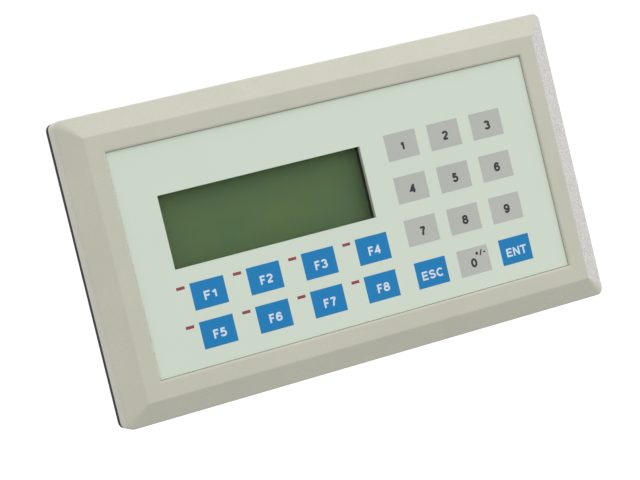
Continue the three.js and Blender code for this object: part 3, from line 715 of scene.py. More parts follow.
class Solid:
    """A closed mesh in the making, in millimetres until it becomes a piece."""

    def __init__(self) -> None:
        """Start with nothing."""
        self.mesh = bmesh.new()

    @classmethod
    def loft(cls, loops: Sequence[Sequence[Spot]], ring: bool = False) -> "Solid":
        """Stretch a skin over loops that have the same number of points.

        Args:
            loops: The loops, in order.
            ring: Whether the last joins the first, which leaves no ends to cap.

        Returns:
            The solid.
        """
        made = cls()
        rows = [[made.mesh.verts.new(point) for point in loop] for loop in loops]
        pairs = list(zip(rows, rows[1:]))
        if ring:
            pairs.append((rows[-1], rows[0]))
        else:
            made.mesh.faces.new(rows[0])
            made.mesh.faces.new(rows[-1])
        for row, following in pairs:
            for i in range(len(row)):
                j = (i + 1) % len(row)
                made.mesh.faces.new((row[i], row[j], following[j], following[i]))
        bmesh.ops.recalc_face_normals(made.mesh, faces=made.mesh.faces)
        return made

    @classmethod
    def slab(cls, outline: Sequence[Point], front: float, back: float) -> "Solid":
        """Give a flat outline depth along Y, from front to back."""
        return cls.loft([[(x, y, z) for x, z in outline] for y in (front, back)])

    @classmethod
    def turned(cls, profile: Sequence[Point], middle: Point = (0, 0), steps: int = 32,
               start: float = 0.0) -> "Solid":
        """Turn a profile round an axis along Y.

        Args:
            profile: Radius and depth of each ring, from one end to the other.
            middle: The axis in X and Z.
            steps: Facets in a turn.
            start: Angle of the first facet.

        Returns:
            The solid, with flat ends.
        """
        return cls.loft([[(x, y, z) for x, z in circle(r, middle, steps, start)] for r, y in profile])

    @classmethod
    def rod(cls, radius: float, front: float, back: float, middle: Point, steps: int = 32) -> "Solid":
        """Make a plain round rod along Y, from front to back."""
        return cls.turned([(radius, front), (radius, back)], middle, steps)

    def add(self, *others: "Solid") -> "Solid":
        """Take in other solids as they are.

        Args:
            *others: Solids that don't touch this one.

        Returns:
            This solid, changed.
        """
        for other in others:
            data = bpy.data.meshes.new("work")
            other.mesh.to_mesh(data)
            self.mesh.from_mesh(data)
            bpy.data.meshes.remove(data)
        return self

    def combine(self, operation: str, others: Sequence["Solid"]) -> "Solid":
        """Join or cut with one of Blender's boolean operations.

        Args:
            operation: UNION or DIFFERENCE.
            others: Solids that don't touch each other.

        Returns:
            This solid, changed.
        """
        tool = Solid().add(*others)
        objects = []
        for solid in (self, tool):
            data = bpy.data.meshes.new("work")
            solid.mesh.to_mesh(data)
            objects.append(bpy.data.objects.new("work", data))
            bpy.context.scene.collection.objects.link(objects[-1])
        base, cutter = objects
        modifier = base.modifiers.new("work", "BOOLEAN")
        modifier.operation = operation
        modifier.solver = "EXACT"
        modifier.object = cutter
        self.mesh.clear()
        self.mesh.from_object(base, bpy.context.evaluated_depsgraph_get())
        for item in objects:
            bpy.data.meshes.remove(item.data)
        bmesh.ops.dissolve_degenerate(self.mesh, dist=1e-5, edges=self.mesh.edges)
        return self

    def cut(self, *tools: "Solid") -> "Solid":
        """Cut tools out of this solid."""
        return self.combine("DIFFERENCE", tools)

    def join(self, *others: "Solid") -> "Solid":
        """Fuse others to this solid."""
        return self.combine("UNION", others)

    def soften(self, width: float, steps: int = 2, angle: float = 30.0,
               where: Callable[[bmesh.types.BMEdge], bool] = lambda edge: True) -> "Solid":
        """Round the sharp edges.

        Args:
            width: How far from an edge its rounding starts.
            steps: Segments in the rounding.
            angle: Least angle between faces, in degrees, that counts as sharp.
            where: Picks the edges.

        Returns:
            This solid, changed.
        """
        least = math.radians(angle)
        edges = [e for e in self.mesh.edges if e.is_manifold and e.calc_face_angle(0.0) > least and where(e)]
        bmesh.ops.bevel(
            self.mesh,
            geom=edges,
            offset=width,
            offset_type="OFFSET",
            segments=steps,
            profile=0.5,
            affect="EDGES",
            clamp_overlap=True,
        )
        return self

    def piece(self, name: str, finish: Palette, body: str = ROOT_BODY, replaces: Sequence[str] = (),
              sharp: float = 40.0) -> bpy.types.Object:
        """Turn the solid into a finished piece.

        Args:
            name: The piece's name.
            finish: What it is made of.
            body: The body that it moves with.
            replaces: The CAD nodes that it stands for.
            sharp: Angle between faces, in degrees, from which an edge is shaded sharp.

        Returns:
            The piece.
        """
        self.mesh.transform(Matrix.Scale(MM, 4))
        data = bpy.data.meshes.new(name)
        self.mesh.to_mesh(data)
        self.mesh.free()
        data.shade_smooth()
        data.set_sharp_from_angle(angle=math.radians(sharp))
        made = bpy.data.objects.new(name, data)
        bpy.context.scene.collection.objects.link(made)
        weigh = made.modifiers.new("work", "WEIGHTED_NORMAL")
        weigh.keep_sharp = True
        shaded = bpy.data.meshes.new_from_object(made.evaluated_get(bpy.context.evaluated_depsgraph_get()))
        made.modifiers.clear()
        made.data = shaded
        bpy.data.meshes.remove(data)
        shaded.name = name
        return settle(made, finish, body, replaces)


def settle(made: bpy.types.Object, finish: Palette, body: str, replaces: Sequence[str]) -> bpy.types.Object:
    """Dress a piece and fix it to its body.

    Args:
        made: The piece.
        finish: What it is made of.
        body: The body that it moves with.
        replaces: The CAD nodes that it stands for.

    Returns:
        The piece.
    """
    made.data.materials.clear()
    made.data.materials.append(finish.material())
    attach(made, body)
    if replaces:
        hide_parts(*replaces)
    LOG.info("%s, %d faces, rides on %s", made.name, len(made.data.polygons), body)
    return made


@dataclass(frozen=True)
class Spacing:
    """Laps between the pieces of the face, in millimetres.

    Attributes:
        key_flange: Lip round a key behind the plate.
        lamp_collar: Lip round a lamp behind the plate.
        pane_lap: How far the pane reaches behind the window's edge.
        film_room: Room between the film and the recess that it lies in.
    """

    key_flange: float = 0.8
    lamp_collar: float = 0.5
    pane_lap: float = 1.5
    film_room: float = 0.1


class Face:
    """Where the film, window, keys and lamps lie, read from the frame."""

    def __init__(self, nodes: Iterable[str], spacing: Spacing = Spacing()) -> None:
        """Read the places.

        Args:
            nodes: Names of the CAD nodes.
            spacing: Laps between the pieces.
        """
        self.spacing = spacing
        self.film = Extent.of("overlay")
        self.recess = (self.film.width + 2 * spacing.film_room, self.film.height + 2 * spacing.film_room)
        pane = Extent.of("window_pane")
        self.window = (pane.width - 2 * spacing.pane_lap, pane.height - 2 * spacing.pane_lap, pane.middle)
        self.keys = self.read(nodes, "key_", spacing.key_flange)
        self.lamps = self.read(nodes, "light_pipe_", spacing.lamp_collar)

    @staticmethod
    def read(nodes: Iterable[str], start: str, lip: float) -> dict[str, tuple[float, float, Point]]:
        """Read the width, height and middle of each shown face, without its hidden lip."""
        extents = {node: Extent.of(node) for node in sorted(nodes) if node.startswith(start)}
        return {node: (e.width - 2 * lip, e.height - 2 * lip, e.middle) for node, e in extents.items()}

    def holes(self, front: float, back: float, room: float) -> list[Solid]:
        """Return tools that cut the window and all the key and lamp holes.

        Args:
            front: Depth of the front of what they cut.
            back: Depth of its back.
            room: Room round each key and lamp.

        Returns:
            The tools.
        """
        front, back = front - PAST, back + PAST
        tools = [Solid.slab(rectangle(*self.window), front, back)]
        for width, height, middle in [*self.keys.values(), *self.lamps.values()]:
            tools.append(Solid.slab(rectangle(width + 2 * room, height + 2 * room, middle), front, back))
        return tools


# ---- Front ------------------------------------------------------------------------------------------------


@dataclass
class FrontFrame:
    """The moulded frame: a flat rim, broad mitred chamfers, thin sides and the plate behind the film.

    Attributes:
        chamfer_run: Width of the chamfers seen from the front.
        chamfer_depth: How far back the chamfers fall.
        side_corner: Corner radius of the sides.
        rim_corner: Corner radius where the rim meets the chamfers.
        recess_corner: Corner radius of the recess that holds the film.
        side_edge: Rounding where the chamfers meet the sides.
        rim_edge: Rounding where the rim meets the chamfers.
        recess_edge: Rounding along the rim's inner edge.
        back_edge: Rounding of the sides' rear edge.
        plate: Thickness of the plate.
        plate_lap: How far the plate is fused into the rim.
        hole_room: Room round the keys and lamps.
        box_room: Room round the box inside the hollow.
        hollow_corner: Corner radius of the hollow.
        side_skin: Thickness of the outer skin.
        inner_skin: Thickness of the skin round the hollow.
        core_depth: Depth of the pockets between the ribs.
        rib_pitch: Distance between the ribs.
        rib: Thickness of a rib.
        boss_radius: Radius of the screw bosses.
        boss_lap: How far they are fused into the plate.
        pilot_radius: Radius of the screw holes.
        pilot_depth: Depth of the screw holes.
        gap: Gap between the frame and what lies behind it.
    """

    chamfer_run: float = 7.5
    chamfer_depth: float = 4.9
    side_corner: float = 2.5
    rim_corner: float = 0.4
    recess_corner: float = 0.3
    side_edge: float = 0.7
    rim_edge: float = 0.35
    recess_edge: float = 1.0
    back_edge: float = 0.25
    plate: float = 1.2
    plate_lap: float = 0.6
    hole_room: float = 0.12
    box_room: float = 0.3
    hollow_corner: float = 4.0
    side_skin: float = 2.2
    inner_skin: float = 1.8
    core_depth: float = 6.6
    rib_pitch: float = 12.0
    rib: float = 1.2
    boss_radius: float = 3.2
    boss_lap: float = 0.5
    pilot_radius: float = 1.5
    pilot_depth: float = 3.7
    gap: float = 0.1

    def ring(self, face: Face, frame: Extent, plate_back: float, hollow: Point) -> Solid:
        """Sweep the frame's section round its rectangle.

        Args:
            face: Layout of the face.
            frame: The frame's box.
            plate_back: Depth of the plate's back.
            hollow: Half width of the hollow beyond the recess, along X and Z.

        Returns:
            The ring.
        """
        reach = (frame.width - face.recess[0]) / 2
        rim = reach - self.chamfer_run
        shoulder = frame.front + self.chamfer_depth
        section = eased(
            [
                (hollow[0], plate_back, self.hollow_corner),
                (hollow[0], frame.back, self.hollow_corner),
                (reach, frame.back, self.side_corner),
                (reach, shoulder, self.side_corner),
                (rim, frame.front, self.rim_corner),
                (0, frame.front, self.recess_corner),
                (0, plate_back, self.recess_corner),
            ],
            [0, 0, self.back_edge, self.side_edge, self.rim_edge, self.recess_edge, 0],
        )
        loops = []
        for offset, depth, radius in section:
            size = (face.recess[0] + 2 * offset, face.recess[1] + 2 * offset)
            loops.append([(x, depth, z) for x, z in rectangle(*size, radius=radius)])
        return Solid.loft(loops, ring=True)

    def pockets(self, frame: Extent, hollow: tuple[float, float]) -> list[Solid]:
        """Return the tools that hollow the sides from behind and leave ribs.

        Args:
            frame: The frame's box.
            hollow: Width and height of the hollow.

        Returns:
            The tools.
        """
        inner = [size / 2 + self.inner_skin for size in hollow]
        band = (frame.width - hollow[0]) / 2 - self.inner_skin - self.side_skin
        length = self.rib_pitch - self.rib
        front, back = frame.back - self.core_depth, frame.back + PAST
        tools = []
        for axis in (0, 1):
            count = int(2 * inner[axis] // self.rib_pitch)
            for i in range(count):
                along = (i - (count - 1) / 2) * self.rib_pitch
                for side in (1, -1):
                    across = side * (inner[1 - axis] + band / 2)
                    size, middle = ((length, band), (along, across))
                    if axis == 1:
                        size, middle = size[::-1], middle[::-1]
                    tools.append(Solid.slab(rectangle(*size, middle, 0.5, 2), front, back))
        return tools

    def build(self, face: Face) -> None:
        """Build the frame.

        Args:
            face: Layout of the face.
        """
        frame = Extent.of("front_bezel")
        housing = Extent.of("rear_housing")
        plate_back = Extent.of("window_pane").front - self.gap
        plate_front = plate_back - self.plate
        hollow = (housing.width + 2 * self.box_room, housing.height + 2 * self.box_room)
        step = (hollow[0] - face.recess[0]) / 2
        ring = self.ring(face, frame, plate_back, (step, step))
        lap = 2 * self.plate_lap
        plate = Solid.slab(rectangle(face.recess[0] + lap, face.recess[1] + lap), plate_front, plate_back)
        plate.cut(*face.holes(plate_front, plate_back, self.hole_room))
        boss_back = housing.front - self.gap
        bosses, pilots = [], []
        for node in screw_nodes("housing_screw"):
            middle = Extent.of(node).middle
            bosses.append(Solid.rod(self.boss_radius, plate_back - self.boss_lap, boss_back, middle))
            end = boss_back - self.pilot_depth
            pilots.append(Solid.rod(self.pilot_radius, end, boss_back + PAST, middle))
        ring.join(plate).join(*bosses).cut(*pilots, *self.pockets(frame, hollow))
        ring.piece("front_frame", Palette.BEZEL, replaces=["front_bezel"])


@dataclass
class Overlay:
    """The printed film that covers the face.

    Attributes:
        key_gap: Gap round a key.
        trim: How much the film is trimmed back at its outer edge.
    """

    key_gap: float = 0.02
    trim: float = 0.04

    def build(self, face: Face) -> None:
        """Build the film with its holes.

        Args:
            face: Layout of the face.
        """
        film = face.film
        trim = 2 * self.trim
        outline = rectangle(film.width - trim, film.height - trim, film.middle, 0.3, 2)
        sheet = Solid.slab(outline, film.front, film.back)
        sheet.cut(*face.holes(film.front, film.back, self.key_gap))
        sheet.piece("face_film", Palette.FILM, replaces=["overlay"])


def bow(middle: Point, radii: Point, start: float, end: float, steps: int = 16) -> list[Point]:
    """Draw part of an ellipse.

    Args:
        middle: Its centre.
        radii: Its half width and half height.
        start: Angle at which it starts, in degrees.
        end: Angle at which it ends, in degrees.
        steps: Segments in it.

    Returns:
        The points.
    """
    turns = [math.radians(start + (end - start) * step / steps) for step in range(steps + 1)]
    return [(middle[0] + radii[0] * math.cos(turn), middle[1] + radii[1] * math.sin(turn)) for turn in turns]


def thickened(line: Sequence[Point], thickness: float) -> list[Point]:
    """Give a line thickness, with square ends and mitred corners.

    Args:
        line: The line's points.
        thickness: Its thickness.

    Returns:
        The outline.
    """
    points = [Vector(point) for point in line]
    left, right = [], []
    for index, point in enumerate(points):
        before = (point - points[index - 1]).normalized() if index else None
        after = (points[index + 1] - point).normalized() if index + 1 < len(points) else None
        along = ((before or after) + (after or before)).normalized()
        across = Vector((-along.y, along.x))
        lean = max(0.35, along.dot(before or after))
        left.append(point + across * thickness / 2 / lean)
        right.append(point - across * thickness / 2 / lean)
    return [tuple(point) for point in left + right[::-1]]


class Lettering:
    """A plain bold alphabet, drawn as strokes in a unit square for each letter.

    A letter is its width, as a share of the capitals' height, and the middle lines of its strokes.
    """

    SPACE = 0.11
    LETTERS: dict[str, tuple[float, list[list[Point]]]] = {
        "0": (0.74, [bow((0.5, 0.5), (0.5, 0.5), 85, 275), bow((0.5, 0.5), (0.5, 0.5), 95, -95)]),
        "1": (0.52, [[(0.8, 0), (0.8, 1)], [(0.0, 0.74), (0.45, 0.8), (0.85, 1.0)]]),
        "2": (0.76, [[*bow((0.48, 0.72), (0.48, 0.28), 165, -25), (0.0, 0.0)], [(0.0, 0.0), (1.0, 0.0)]]),
        "3": (0.75, [bow((0.46, 0.76), (0.46, 0.24), 160, -90), bow((0.47, 0.27), (0.52, 0.27), 90, -160)]),
        "4": (0.76, [[(0.68, 1.0), (0.0, 0.26), (1.05, 0.26)], [(0.72, -0.1), (0.72, 1.1)]]),
        "5": (0.74, [[(0.92, 1.0), (0.2, 1.0), (0.1, 0.46)], bow((0.46, 0.32), (0.52, 0.32), 140, -155)]),
        "6": (0.74, [bow((0.5, 0.3), (0.48, 0.3), 0, 200), bow((0.5, 0.3), (0.48, 0.3), 180, 380),
                     [(0.0, 0.3), *bow((0.55, 0.52), (0.53, 0.48), 180, 35)]]),
        "7": (0.76, [[(0.0, 1.0), (1.0, 1.0)], [(1.0, 1.0), (0.6, 0.55), (0.38, -0.1)]]),
        "8": (0.75, [bow((0.5, 0.77), (0.42, 0.23), 0, 190), bow((0.5, 0.77), (0.42, 0.23), 180, 370),
                     bow((0.5, 0.27), (0.5, 0.27), 0, 190), bow((0.5, 0.27), (0.5, 0.27), 180, 370)]),
        "9": (0.74, [bow((0.5, 0.7), (0.48, 0.3), 0, 200), bow((0.5, 0.7), (0.48, 0.3), 180, 380),
                     [(1.0, 0.7), *bow((0.45, 0.48), (0.53, 0.48), 0, -145)]]),
        "C": (0.78, [bow((0.52, 0.5), (0.52, 0.5), 42, 318, 24)]),
        "E": (0.66, [[(0, -0.125), (0, 1.125)], [(0, 1), (1.1, 1)],
                     [(0, 0.52), (1.0, 0.52)], [(0, 0), (1.12, 0)]]),
        "F": (0.62, [[(0, -0.125), (0, 1.125)], [(0, 1), (1.12, 1)], [(0, 0.5), (0.95, 0.5)]]),
        "N": (0.72, [[(0, -0.125), (0, 1.125)], [(1, -0.125), (1, 1.125)], [(0, 1.03), (1, -0.03)]]),
        "S": (0.7, [bow((0.48, 0.76), (0.47, 0.24), 20, 275), bow((0.5, 0.26), (0.5, 0.26), 95, -160)]),
        "T": (0.7, [[(-0.16, 1), (1.16, 1)], [(0.5, 1), (0.5, -0.125)]]),
        "+": (0.62, [[(-0.1, 0.5), (1.1, 0.5)], [(0.5, 0.15), (0.5, 0.85)]]),
        "/": (0.5, [[(-0.1, -0.1), (1.1, 1.1)]]),
        "-": (0.5, [[(-0.1, 0.45), (1.1, 0.45)]]),
    }

    @classmethod
    def write(cls, legend: "Legend", middle: Point, front: float, back: float) -> Solid:
        """Write a line of text as thin raised ink.

        Args:
            legend: What to write, and how large and bold.
            middle: Middle of the line.
            front: Depth of the ink's face.
            back: Depth of its back.

        Returns:
            The ink.
        """
        text, height = legend.text, legend.height
        length = sum(cls.LETTERS[letter][0] for letter in text) + cls.SPACE * (len(text) - 1)
        stretch = legend.width / (length * height) if legend.width else 1.0
        pen = legend.weight * height
        start = middle[0] - length * height * stretch / 2
        ink = Solid()
        for letter in text:
            share, strokes = cls.LETTERS[letter]
            wide = share * height * stretch
            shapes = []
            for stroke in strokes:
                low = middle[1] - height / 2 + pen / 2
                line = [(start + pen / 2 + u * (wide - pen), low + v * (height - pen)) for u, v in stroke]
                shapes.append(Solid.slab(thickened(line, pen), front, back))
            whole = shapes[0]
            for shape in shapes[1:]:
                whole.join(shape)
            ink.add(whole)
            start += wide + cls.SPACE * height * stretch
        return ink


@dataclass(frozen=True)
class Legend:
    """What is printed on a key.

    Attributes:
        text: The letters or digits.
        height: Height of its capitals.
        width: Its width, or 0 to keep the letters' own proportions.
        shift: How far its middle lies from the key's, along X and Z.
        weight: Thickness of the strokes, as a share of the height.
    """

    text: str
    height: float = 3.3
    width: float = 0.0
    shift: Point = (0.3, -0.3)
    weight: float = 0.24


@dataclass
class Keypad:
    """The twenty keys with their printed legends, and the eight lamps.

    Attributes:
        proud: How far the key faces stand in front of the film.
        corner: Corner radius of a key.
        edge: Rounding of a key's front edge.
        flange_depth: Thickness of the lips behind the plate.
        nub_radius: Radius of the nub that presses the dome.
        nub_depth: How far it stands out behind the lip.
        ink: Thickness of the printed ink.
        lamp_corner: Corner radius of a lamp.
        lamp_low: How far the lamps lie behind the film's face.
        legends: What is printed on each key.
    """

    proud: float = 0.03
    corner: float = 0.15
    edge: float = 0.04
    flange_depth: float = 0.5
    nub_radius: float = 1.5
    nub_depth: float = 0.3
    ink: float = 0.012
    lamp_corner: float = 0.2
    lamp_low: float = 0.03
    legends: dict[str, list[Legend]] = field(default_factory=dict)

    def __post_init__(self) -> None:
        """Fill in the legends."""
        for number in range(1, 9):
            self.legends[f"key_f{number}"] = [Legend(f"F{number}", 3.1, 4.8, (0.4, -0.5), 0.21)]
        for number in range(1, 10):
            self.legends[f"key_{number}"] = [Legend(str(number))]
        self.legends["key_0"] = [Legend("0", shift=(-0.2, -0.65)), Legend("+/-", 2.2, 4.4, (3.1, 2.4))]
        self.legends["key_esc"] = [Legend("ESC", 3.1, 8.5, (0.2, -0.5), 0.2)]
        self.legends["key_enter"] = [Legend("ENT", 3.1, 8.2, (0.2, -0.5), 0.2)]

    def cap(self, node: str, face: Face) -> None:
        """Build one key.

        Args:
            node: The CAD node that it replaces.
            face: Layout of the face.
        """
        width, height, middle = face.keys[node]
        extent = Extent.of(node)
        front = face.film.front - self.proud
        flange_back = extent.back - self.nub_depth
        flange_front = flange_back - self.flange_depth
        cap = Solid.slab(rectangle(width, height, middle, self.corner, 3), front, flange_back - 0.1)
        cap.soften(self.edge, 2, where=lambda edge: all(v.co.y < front + 0.01 for v in edge.verts))
        lip = 2 * face.spacing.key_flange
        flange = Solid.slab(rectangle(width + lip, height + lip, middle, 0.5, 3), flange_front, flange_back)
        nub = [(self.nub_radius, flange_back - 0.2), (self.nub_radius * 0.8, extent.back)]
        cap.join(flange).join(Solid.turned(nub, middle, 24))
        blue = not node.removeprefix("key_").isdigit()
        cap.piece(node + "_cap", Palette.BLUE_KEY if blue else Palette.GREY_KEY, node, [node])
        for number, legend in enumerate(self.legends[node]):
            self.print(f"{node}_legend_{number + 1}", legend, node, middle, front, blue)

    def print(self, name: str, legend: Legend, body: str, middle: Point, front: float, white: bool) -> None:
        """Print a legend on a key.

        Args:
            name: The piece's name.
            legend: What to print.
            body: The key's body.
            middle: The key's middle.
            front: Depth of the key's face.
            white: Whether the ink is white.
        """
        place = (middle[0] + legend.shift[0], middle[1] + legend.shift[1])
        ink = Lettering.write(legend, place, front - self.ink, front + self.ink)
        ink.piece(name, Palette.WHITE_INK if white else Palette.DARK_INK, body)

    def lamp(self, node: str, face: Face) -> None:
        """Build one lamp's light pipe.

        Args:
            node: The CAD node that it replaces.
            face: Layout of the face.
        """
        width, height, middle = face.lamps[node]
        extent = Extent.of(node)
        front = face.film.front + self.lamp_low
        pipe = Solid.slab(rectangle(width, height, middle, self.lamp_corner, 3), front, extent.back)
        lip = 2 * face.spacing.lamp_collar
        collar_front = Extent.of("window_pane").front
        outline = rectangle(width + lip, height + lip, middle, 0.3, 3)
        pipe.join(Solid.slab(outline, collar_front, collar_front + self.flange_depth))
        pipe.piece(node.replace("light_pipe", "lamp"), Palette.LAMP, replaces=[node])

    def build(self, face: Face) -> None:
        """Build the keys and lamps.

        Args:
            face: Layout of the face.
        """
        for node in face.keys:
            self.cap(node, face)
        for node in face.lamps:
            self.lamp(node, face)


@dataclass
class Display:
    """The window pane and the display module behind it.

    Attributes:
        sheet: Thickness of the module's sheet-metal frame.
        opening_lap: How far its opening lies outside the window.
        bend: Bend radius of the sheet metal.
    """

    sheet: float = 0.5
    opening_lap: float = 0.8
    bend: float = 0.6

    def build(self, face: Face) -> None:
        """Build the pane, metal frame and glass.

        Args:
            face: Layout of the face.
        """
        pane = Extent.of("window_pane")
        outline = rectangle(pane.width, pane.height, pane.middle, 0.6, 3)
        clear = Solid.slab(outline, pane.front, pane.back).soften(0.12)
        clear.piece("clear_window", Palette.PANE, replaces=["window_pane"])
        self.metal_frame(face)
        glass = Extent.of("lcd_glass")
        outline = rectangle(glass.width, glass.height, glass.middle, 0.3, 3)
        Solid.slab(outline, glass.front, glass.back).soften(0.15).piece(
            "display_glass", Palette.DISPLAY, replaces=["lcd_glass"]
        )

    def metal_frame(self, face: Face) -> None:
        """Build the folded sheet-metal frame round the glass.

        Args:
            face: Layout of the face.
        """
        metal = Extent.of("lcd_frame")
        outer = Solid.slab(rectangle(metal.width, metal.height, metal.middle), metal.front, metal.back)
        outer.soften(self.bend, 4, where=lambda edge: any(v.co.y < metal.back - 0.1 for v in edge.verts))
        width, height = metal.width - 2 * self.sheet, metal.height - 2 * self.sheet
        inner = rectangle(width, height, metal.middle, 0.3, 3)
        lap = 2 * self.opening_lap
        opening = rectangle(face.window[0] + lap, face.window[1] + lap, face.window[2], 0.8)
        outer.cut(Solid.slab(inner, metal.front + self.sheet, metal.back + 1))
        outer.cut(Solid.slab(opening, metal.front - 1, metal.front + self.sheet + 0.5))
        outer.piece("display_frame", Palette.DISPLAY_STEEL, replaces=["lcd_frame"])


# ---- Back -------------------------------------------------------------------------------------------------


@dataclass
class Gasket:
    """The foam ring that seals the frame to the cabinet wall.

    Attributes:
        corner: Radius of the outer corners.
        hole_corner: Radius of the inner corners.
        box_room: Room round the box.
        bulge: How far the foam's edges round off.
    """

    corner: float = 2.5
    hole_corner: float = 4.0
    box_room: float = 0.3
    bulge: float = 0.25

    def build(self) -> None:
        """Build the ring."""
        foam, housing = Extent.of("gasket"), Extent.of("rear_housing")
        room = 2 * self.box_room
        hole = rectangle(housing.width + room, housing.height + room, (0, 0), self.hole_corner)
        ring = Solid.slab(rectangle(foam.width, foam.height, (0, 0), self.corner), foam.front, foam.back)
        ring.cut(Solid.slab(hole, foam.front - PAST, foam.back + PAST)).soften(self.bulge, 4, 60)
        ring.piece("foam_gasket", Palette.GASKET, replaces=["gasket"])


@dataclass
class Slots:
    """A row of ventilation slots with round ends.

    Attributes:
        width: Width of a slot.
        length: Its length.
        pitch: Distance between slots.
        count: How many there are.
    """

    width: float = 2.0
    length: float = 16.0
    pitch: float = 5.0
    count: int = 8

    def places(self) -> list[float]:
        """Return the middle of each slot along X."""
        return [(i - (self.count - 1) / 2) * self.pitch for i in range(self.count)]

    def outline(self, middle: Point) -> list[Point]:
        """Draw one slot, long in the second direction."""
        return rectangle(self.width, self.length, middle, self.width / 2 - 0.01)


@dataclass
class Housing:
    """The box behind the cabinet wall and its steel cover.

    Attributes:
        wall: Thickness of the box's walls.
        corner: Radius of its corners.
        edge: Rounding of its outer edges.
        post_radius: Radius of the screw posts.
        bore_radius: Radius of the bores in them.
        hook_width: Width of a clamp hook's slot.
        hook_depth: Its depth.
        room: Room round what passes through a wall.
        groove: Depth and height of the groove along the parting line.
        groove_place: How far the groove starts in front of the clamps.
        cover_edge: Rounding of the cover's edges.
        cover_gap: Gap between the box and the cover.
        standoff_radius: Radius of the standoffs on the cover.
        standoff_lap: How far they are fused into the cover.
        slots: The ventilation slots.
    """

    wall: float = 2.0
    corner: float = 4.0
    edge: float = 0.45
    post_radius: float = 3.2
    bore_radius: float = 1.7
    hook_width: float = 7.6
    hook_depth: float = 5.6
    room: float = 0.3
    groove: Point = (0.35, 1.2)
    groove_place: float = 3.0
    cover_edge: float = 0.25
    cover_gap: float = 0.1
    standoff_radius: float = 2.6
    standoff_lap: float = 0.5
    slots: Slots = field(default_factory=Slots)

    def box(self) -> None:
        """Build the box with its posts, slots and a shallow groove along its parting line."""
        box = Extent.of("rear_housing")
        width, height = box.width, box.height
        depth, high = self.groove
        parting = Extent.of("clamp_top_left").front - self.groove_place
        ends = parting, parting + high
        line = [(0, box.front), (0, ends[0]), (depth, ends[0]), (depth, ends[1]), (0, ends[1]), (0, box.back)]
        profile = eased(line, [0, 0.15, 0.1, 0.1, 0.15, 0], 2)
        loops = []
        for inset, y in profile:
            outline = rectangle(width - 2 * inset, height - 2 * inset, (0, 0), self.corner - inset)
            loops.append([(x, y, z) for x, z in outline])
        shell = Solid.loft(loops)
        inner = rectangle(width - 2 * self.wall, height - 2 * self.wall, (0, 0), self.corner - self.wall)
        shell.cut(Solid.slab(inner, box.front - PAST, box.back + PAST))
        posts, bores = [], []
        for node in screw_nodes("housing_screw"):
            middle = Extent.of(node).middle
            posts.append(Solid.rod(self.post_radius, box.front, box.back, middle))
            bores.append(Solid.rod(self.bore_radius, box.front - PAST, box.back + PAST, middle))
        shell.join(*posts).cut(*bores)
        tools = []
        wall_z = box.height / 2 - self.wall / 2
        reach = (wall_z - 2 * self.wall, wall_z + 2 * self.wall)
        for up in (1, -1):
            bottom, top = sorted(up * z for z in reach)
            for x in self.slots.places():
                tools.append(upright(self.slots.outline((x, box.back / 2)), bottom, top))
        for node in screw_nodes("clamp"):
            clamp = Extent.of(node)
            up = math.copysign(1, clamp.middle[1])
            bottom, top = sorted(up * z for z in reach)
            middle = (clamp.middle[0], clamp.front - self.room + self.hook_depth / 2)
            tools.append(upright(rectangle(self.hook_width, self.hook_depth, middle, 0.3, 2), bottom, top))
        shell.cut(*tools).soften(self.edge, 2, 60, where=outside_of(box, 0.2))
        shell.piece("rear_box", Palette.HOUSING, replaces=["rear_housing"])

    def cover(self) -> None:
        """Build the cover with its slots, connector openings and standoffs."""
        cover = Extent.of("rear_cover")
        port, terminal = Extent.of("serial_port"), Extent.of("power_terminal")
        front = Extent.of("rear_housing").back + self.cover_gap
        ends = front - PAST, cover.back + PAST
        plate = Solid.slab(rectangle(cover.width, cover.height, (0, 0), self.corner), front, cover.back)
        tools = []
        for node in screw_nodes("housing_screw"):
            tools.append(Solid.rod(self.bore_radius, *ends, Extent.of(node).middle))
        for node in ("jack_screw_left", "jack_screw_right"):
            jack = Extent.of(node)
            radius = max(jack.width, jack.height) / 2 + self.room
            tools.append(Solid.rod(radius, *ends, jack.middle))
        tools.append(Solid.slab(SerialPort().outline(port.middle, self.room), *ends))
        room = 2 * self.room
        opening = rectangle(terminal.width + room, terminal.height + room, terminal.middle, 0.5, 3)
        tools.append(Solid.slab(opening, *ends))
        tools += [Solid.slab(self.slots.outline((x, -port.middle[1])), *ends) for x in self.slots.places()]
        plate.cut(*tools).soften(self.cover_edge, 2, 60)
        for side in (1, -1):
            for up in (1, -1):
                middle = (side * self.standoff_place()[0], up * self.standoff_place()[1])
                plate.join(Solid.rod(self.standoff_radius, cover.front, front + self.standoff_lap, middle))
        plate.piece("steel_cover", Palette.COVER, replaces=["rear_cover"])

    @staticmethod
    def standoff_place(inset: float = 6.0) -> Point:
        """Return how far the standoffs stand from the middle, so far inside the main board's edges."""
        board = Extent.of("main_board")
        return board.width / 2 - inset, board.height / 2 - inset


def upright(outline: Sequence[Point], bottom: float, top: float) -> Solid:
    """Give an outline in X and Y height along Z."""
    return Solid.loft([[(x, y, z) for x, y in outline] for z in (bottom, top)])


def outside_of(box: Extent, margin: float) -> Callable[[bmesh.types.BMEdge], bool]:
    """Return a test for edges that lie on a box's outer faces.

    Args:
        box: The box.
        margin: How near to a face an edge's ends must be.

    Returns:
        The test.
    """

    faces = [(axis, corner[axis]) for axis in range(3) for corner in (box.low, box.high)]

    def test(edge: bmesh.types.BMEdge) -> bool:
        """Tell whether both ends lie on one outer face."""
        return any(all(abs(v.co[axis] - face) < margin for v in edge.verts) for axis, face in faces)

    return test


def screw_nodes(start: str) -> list[str]:
    """Name the four nodes of a set that sits in the corners."""
    return [f"{start}_{up}_{side}" for up in ("top", "bottom") for side in ("left", "right")]


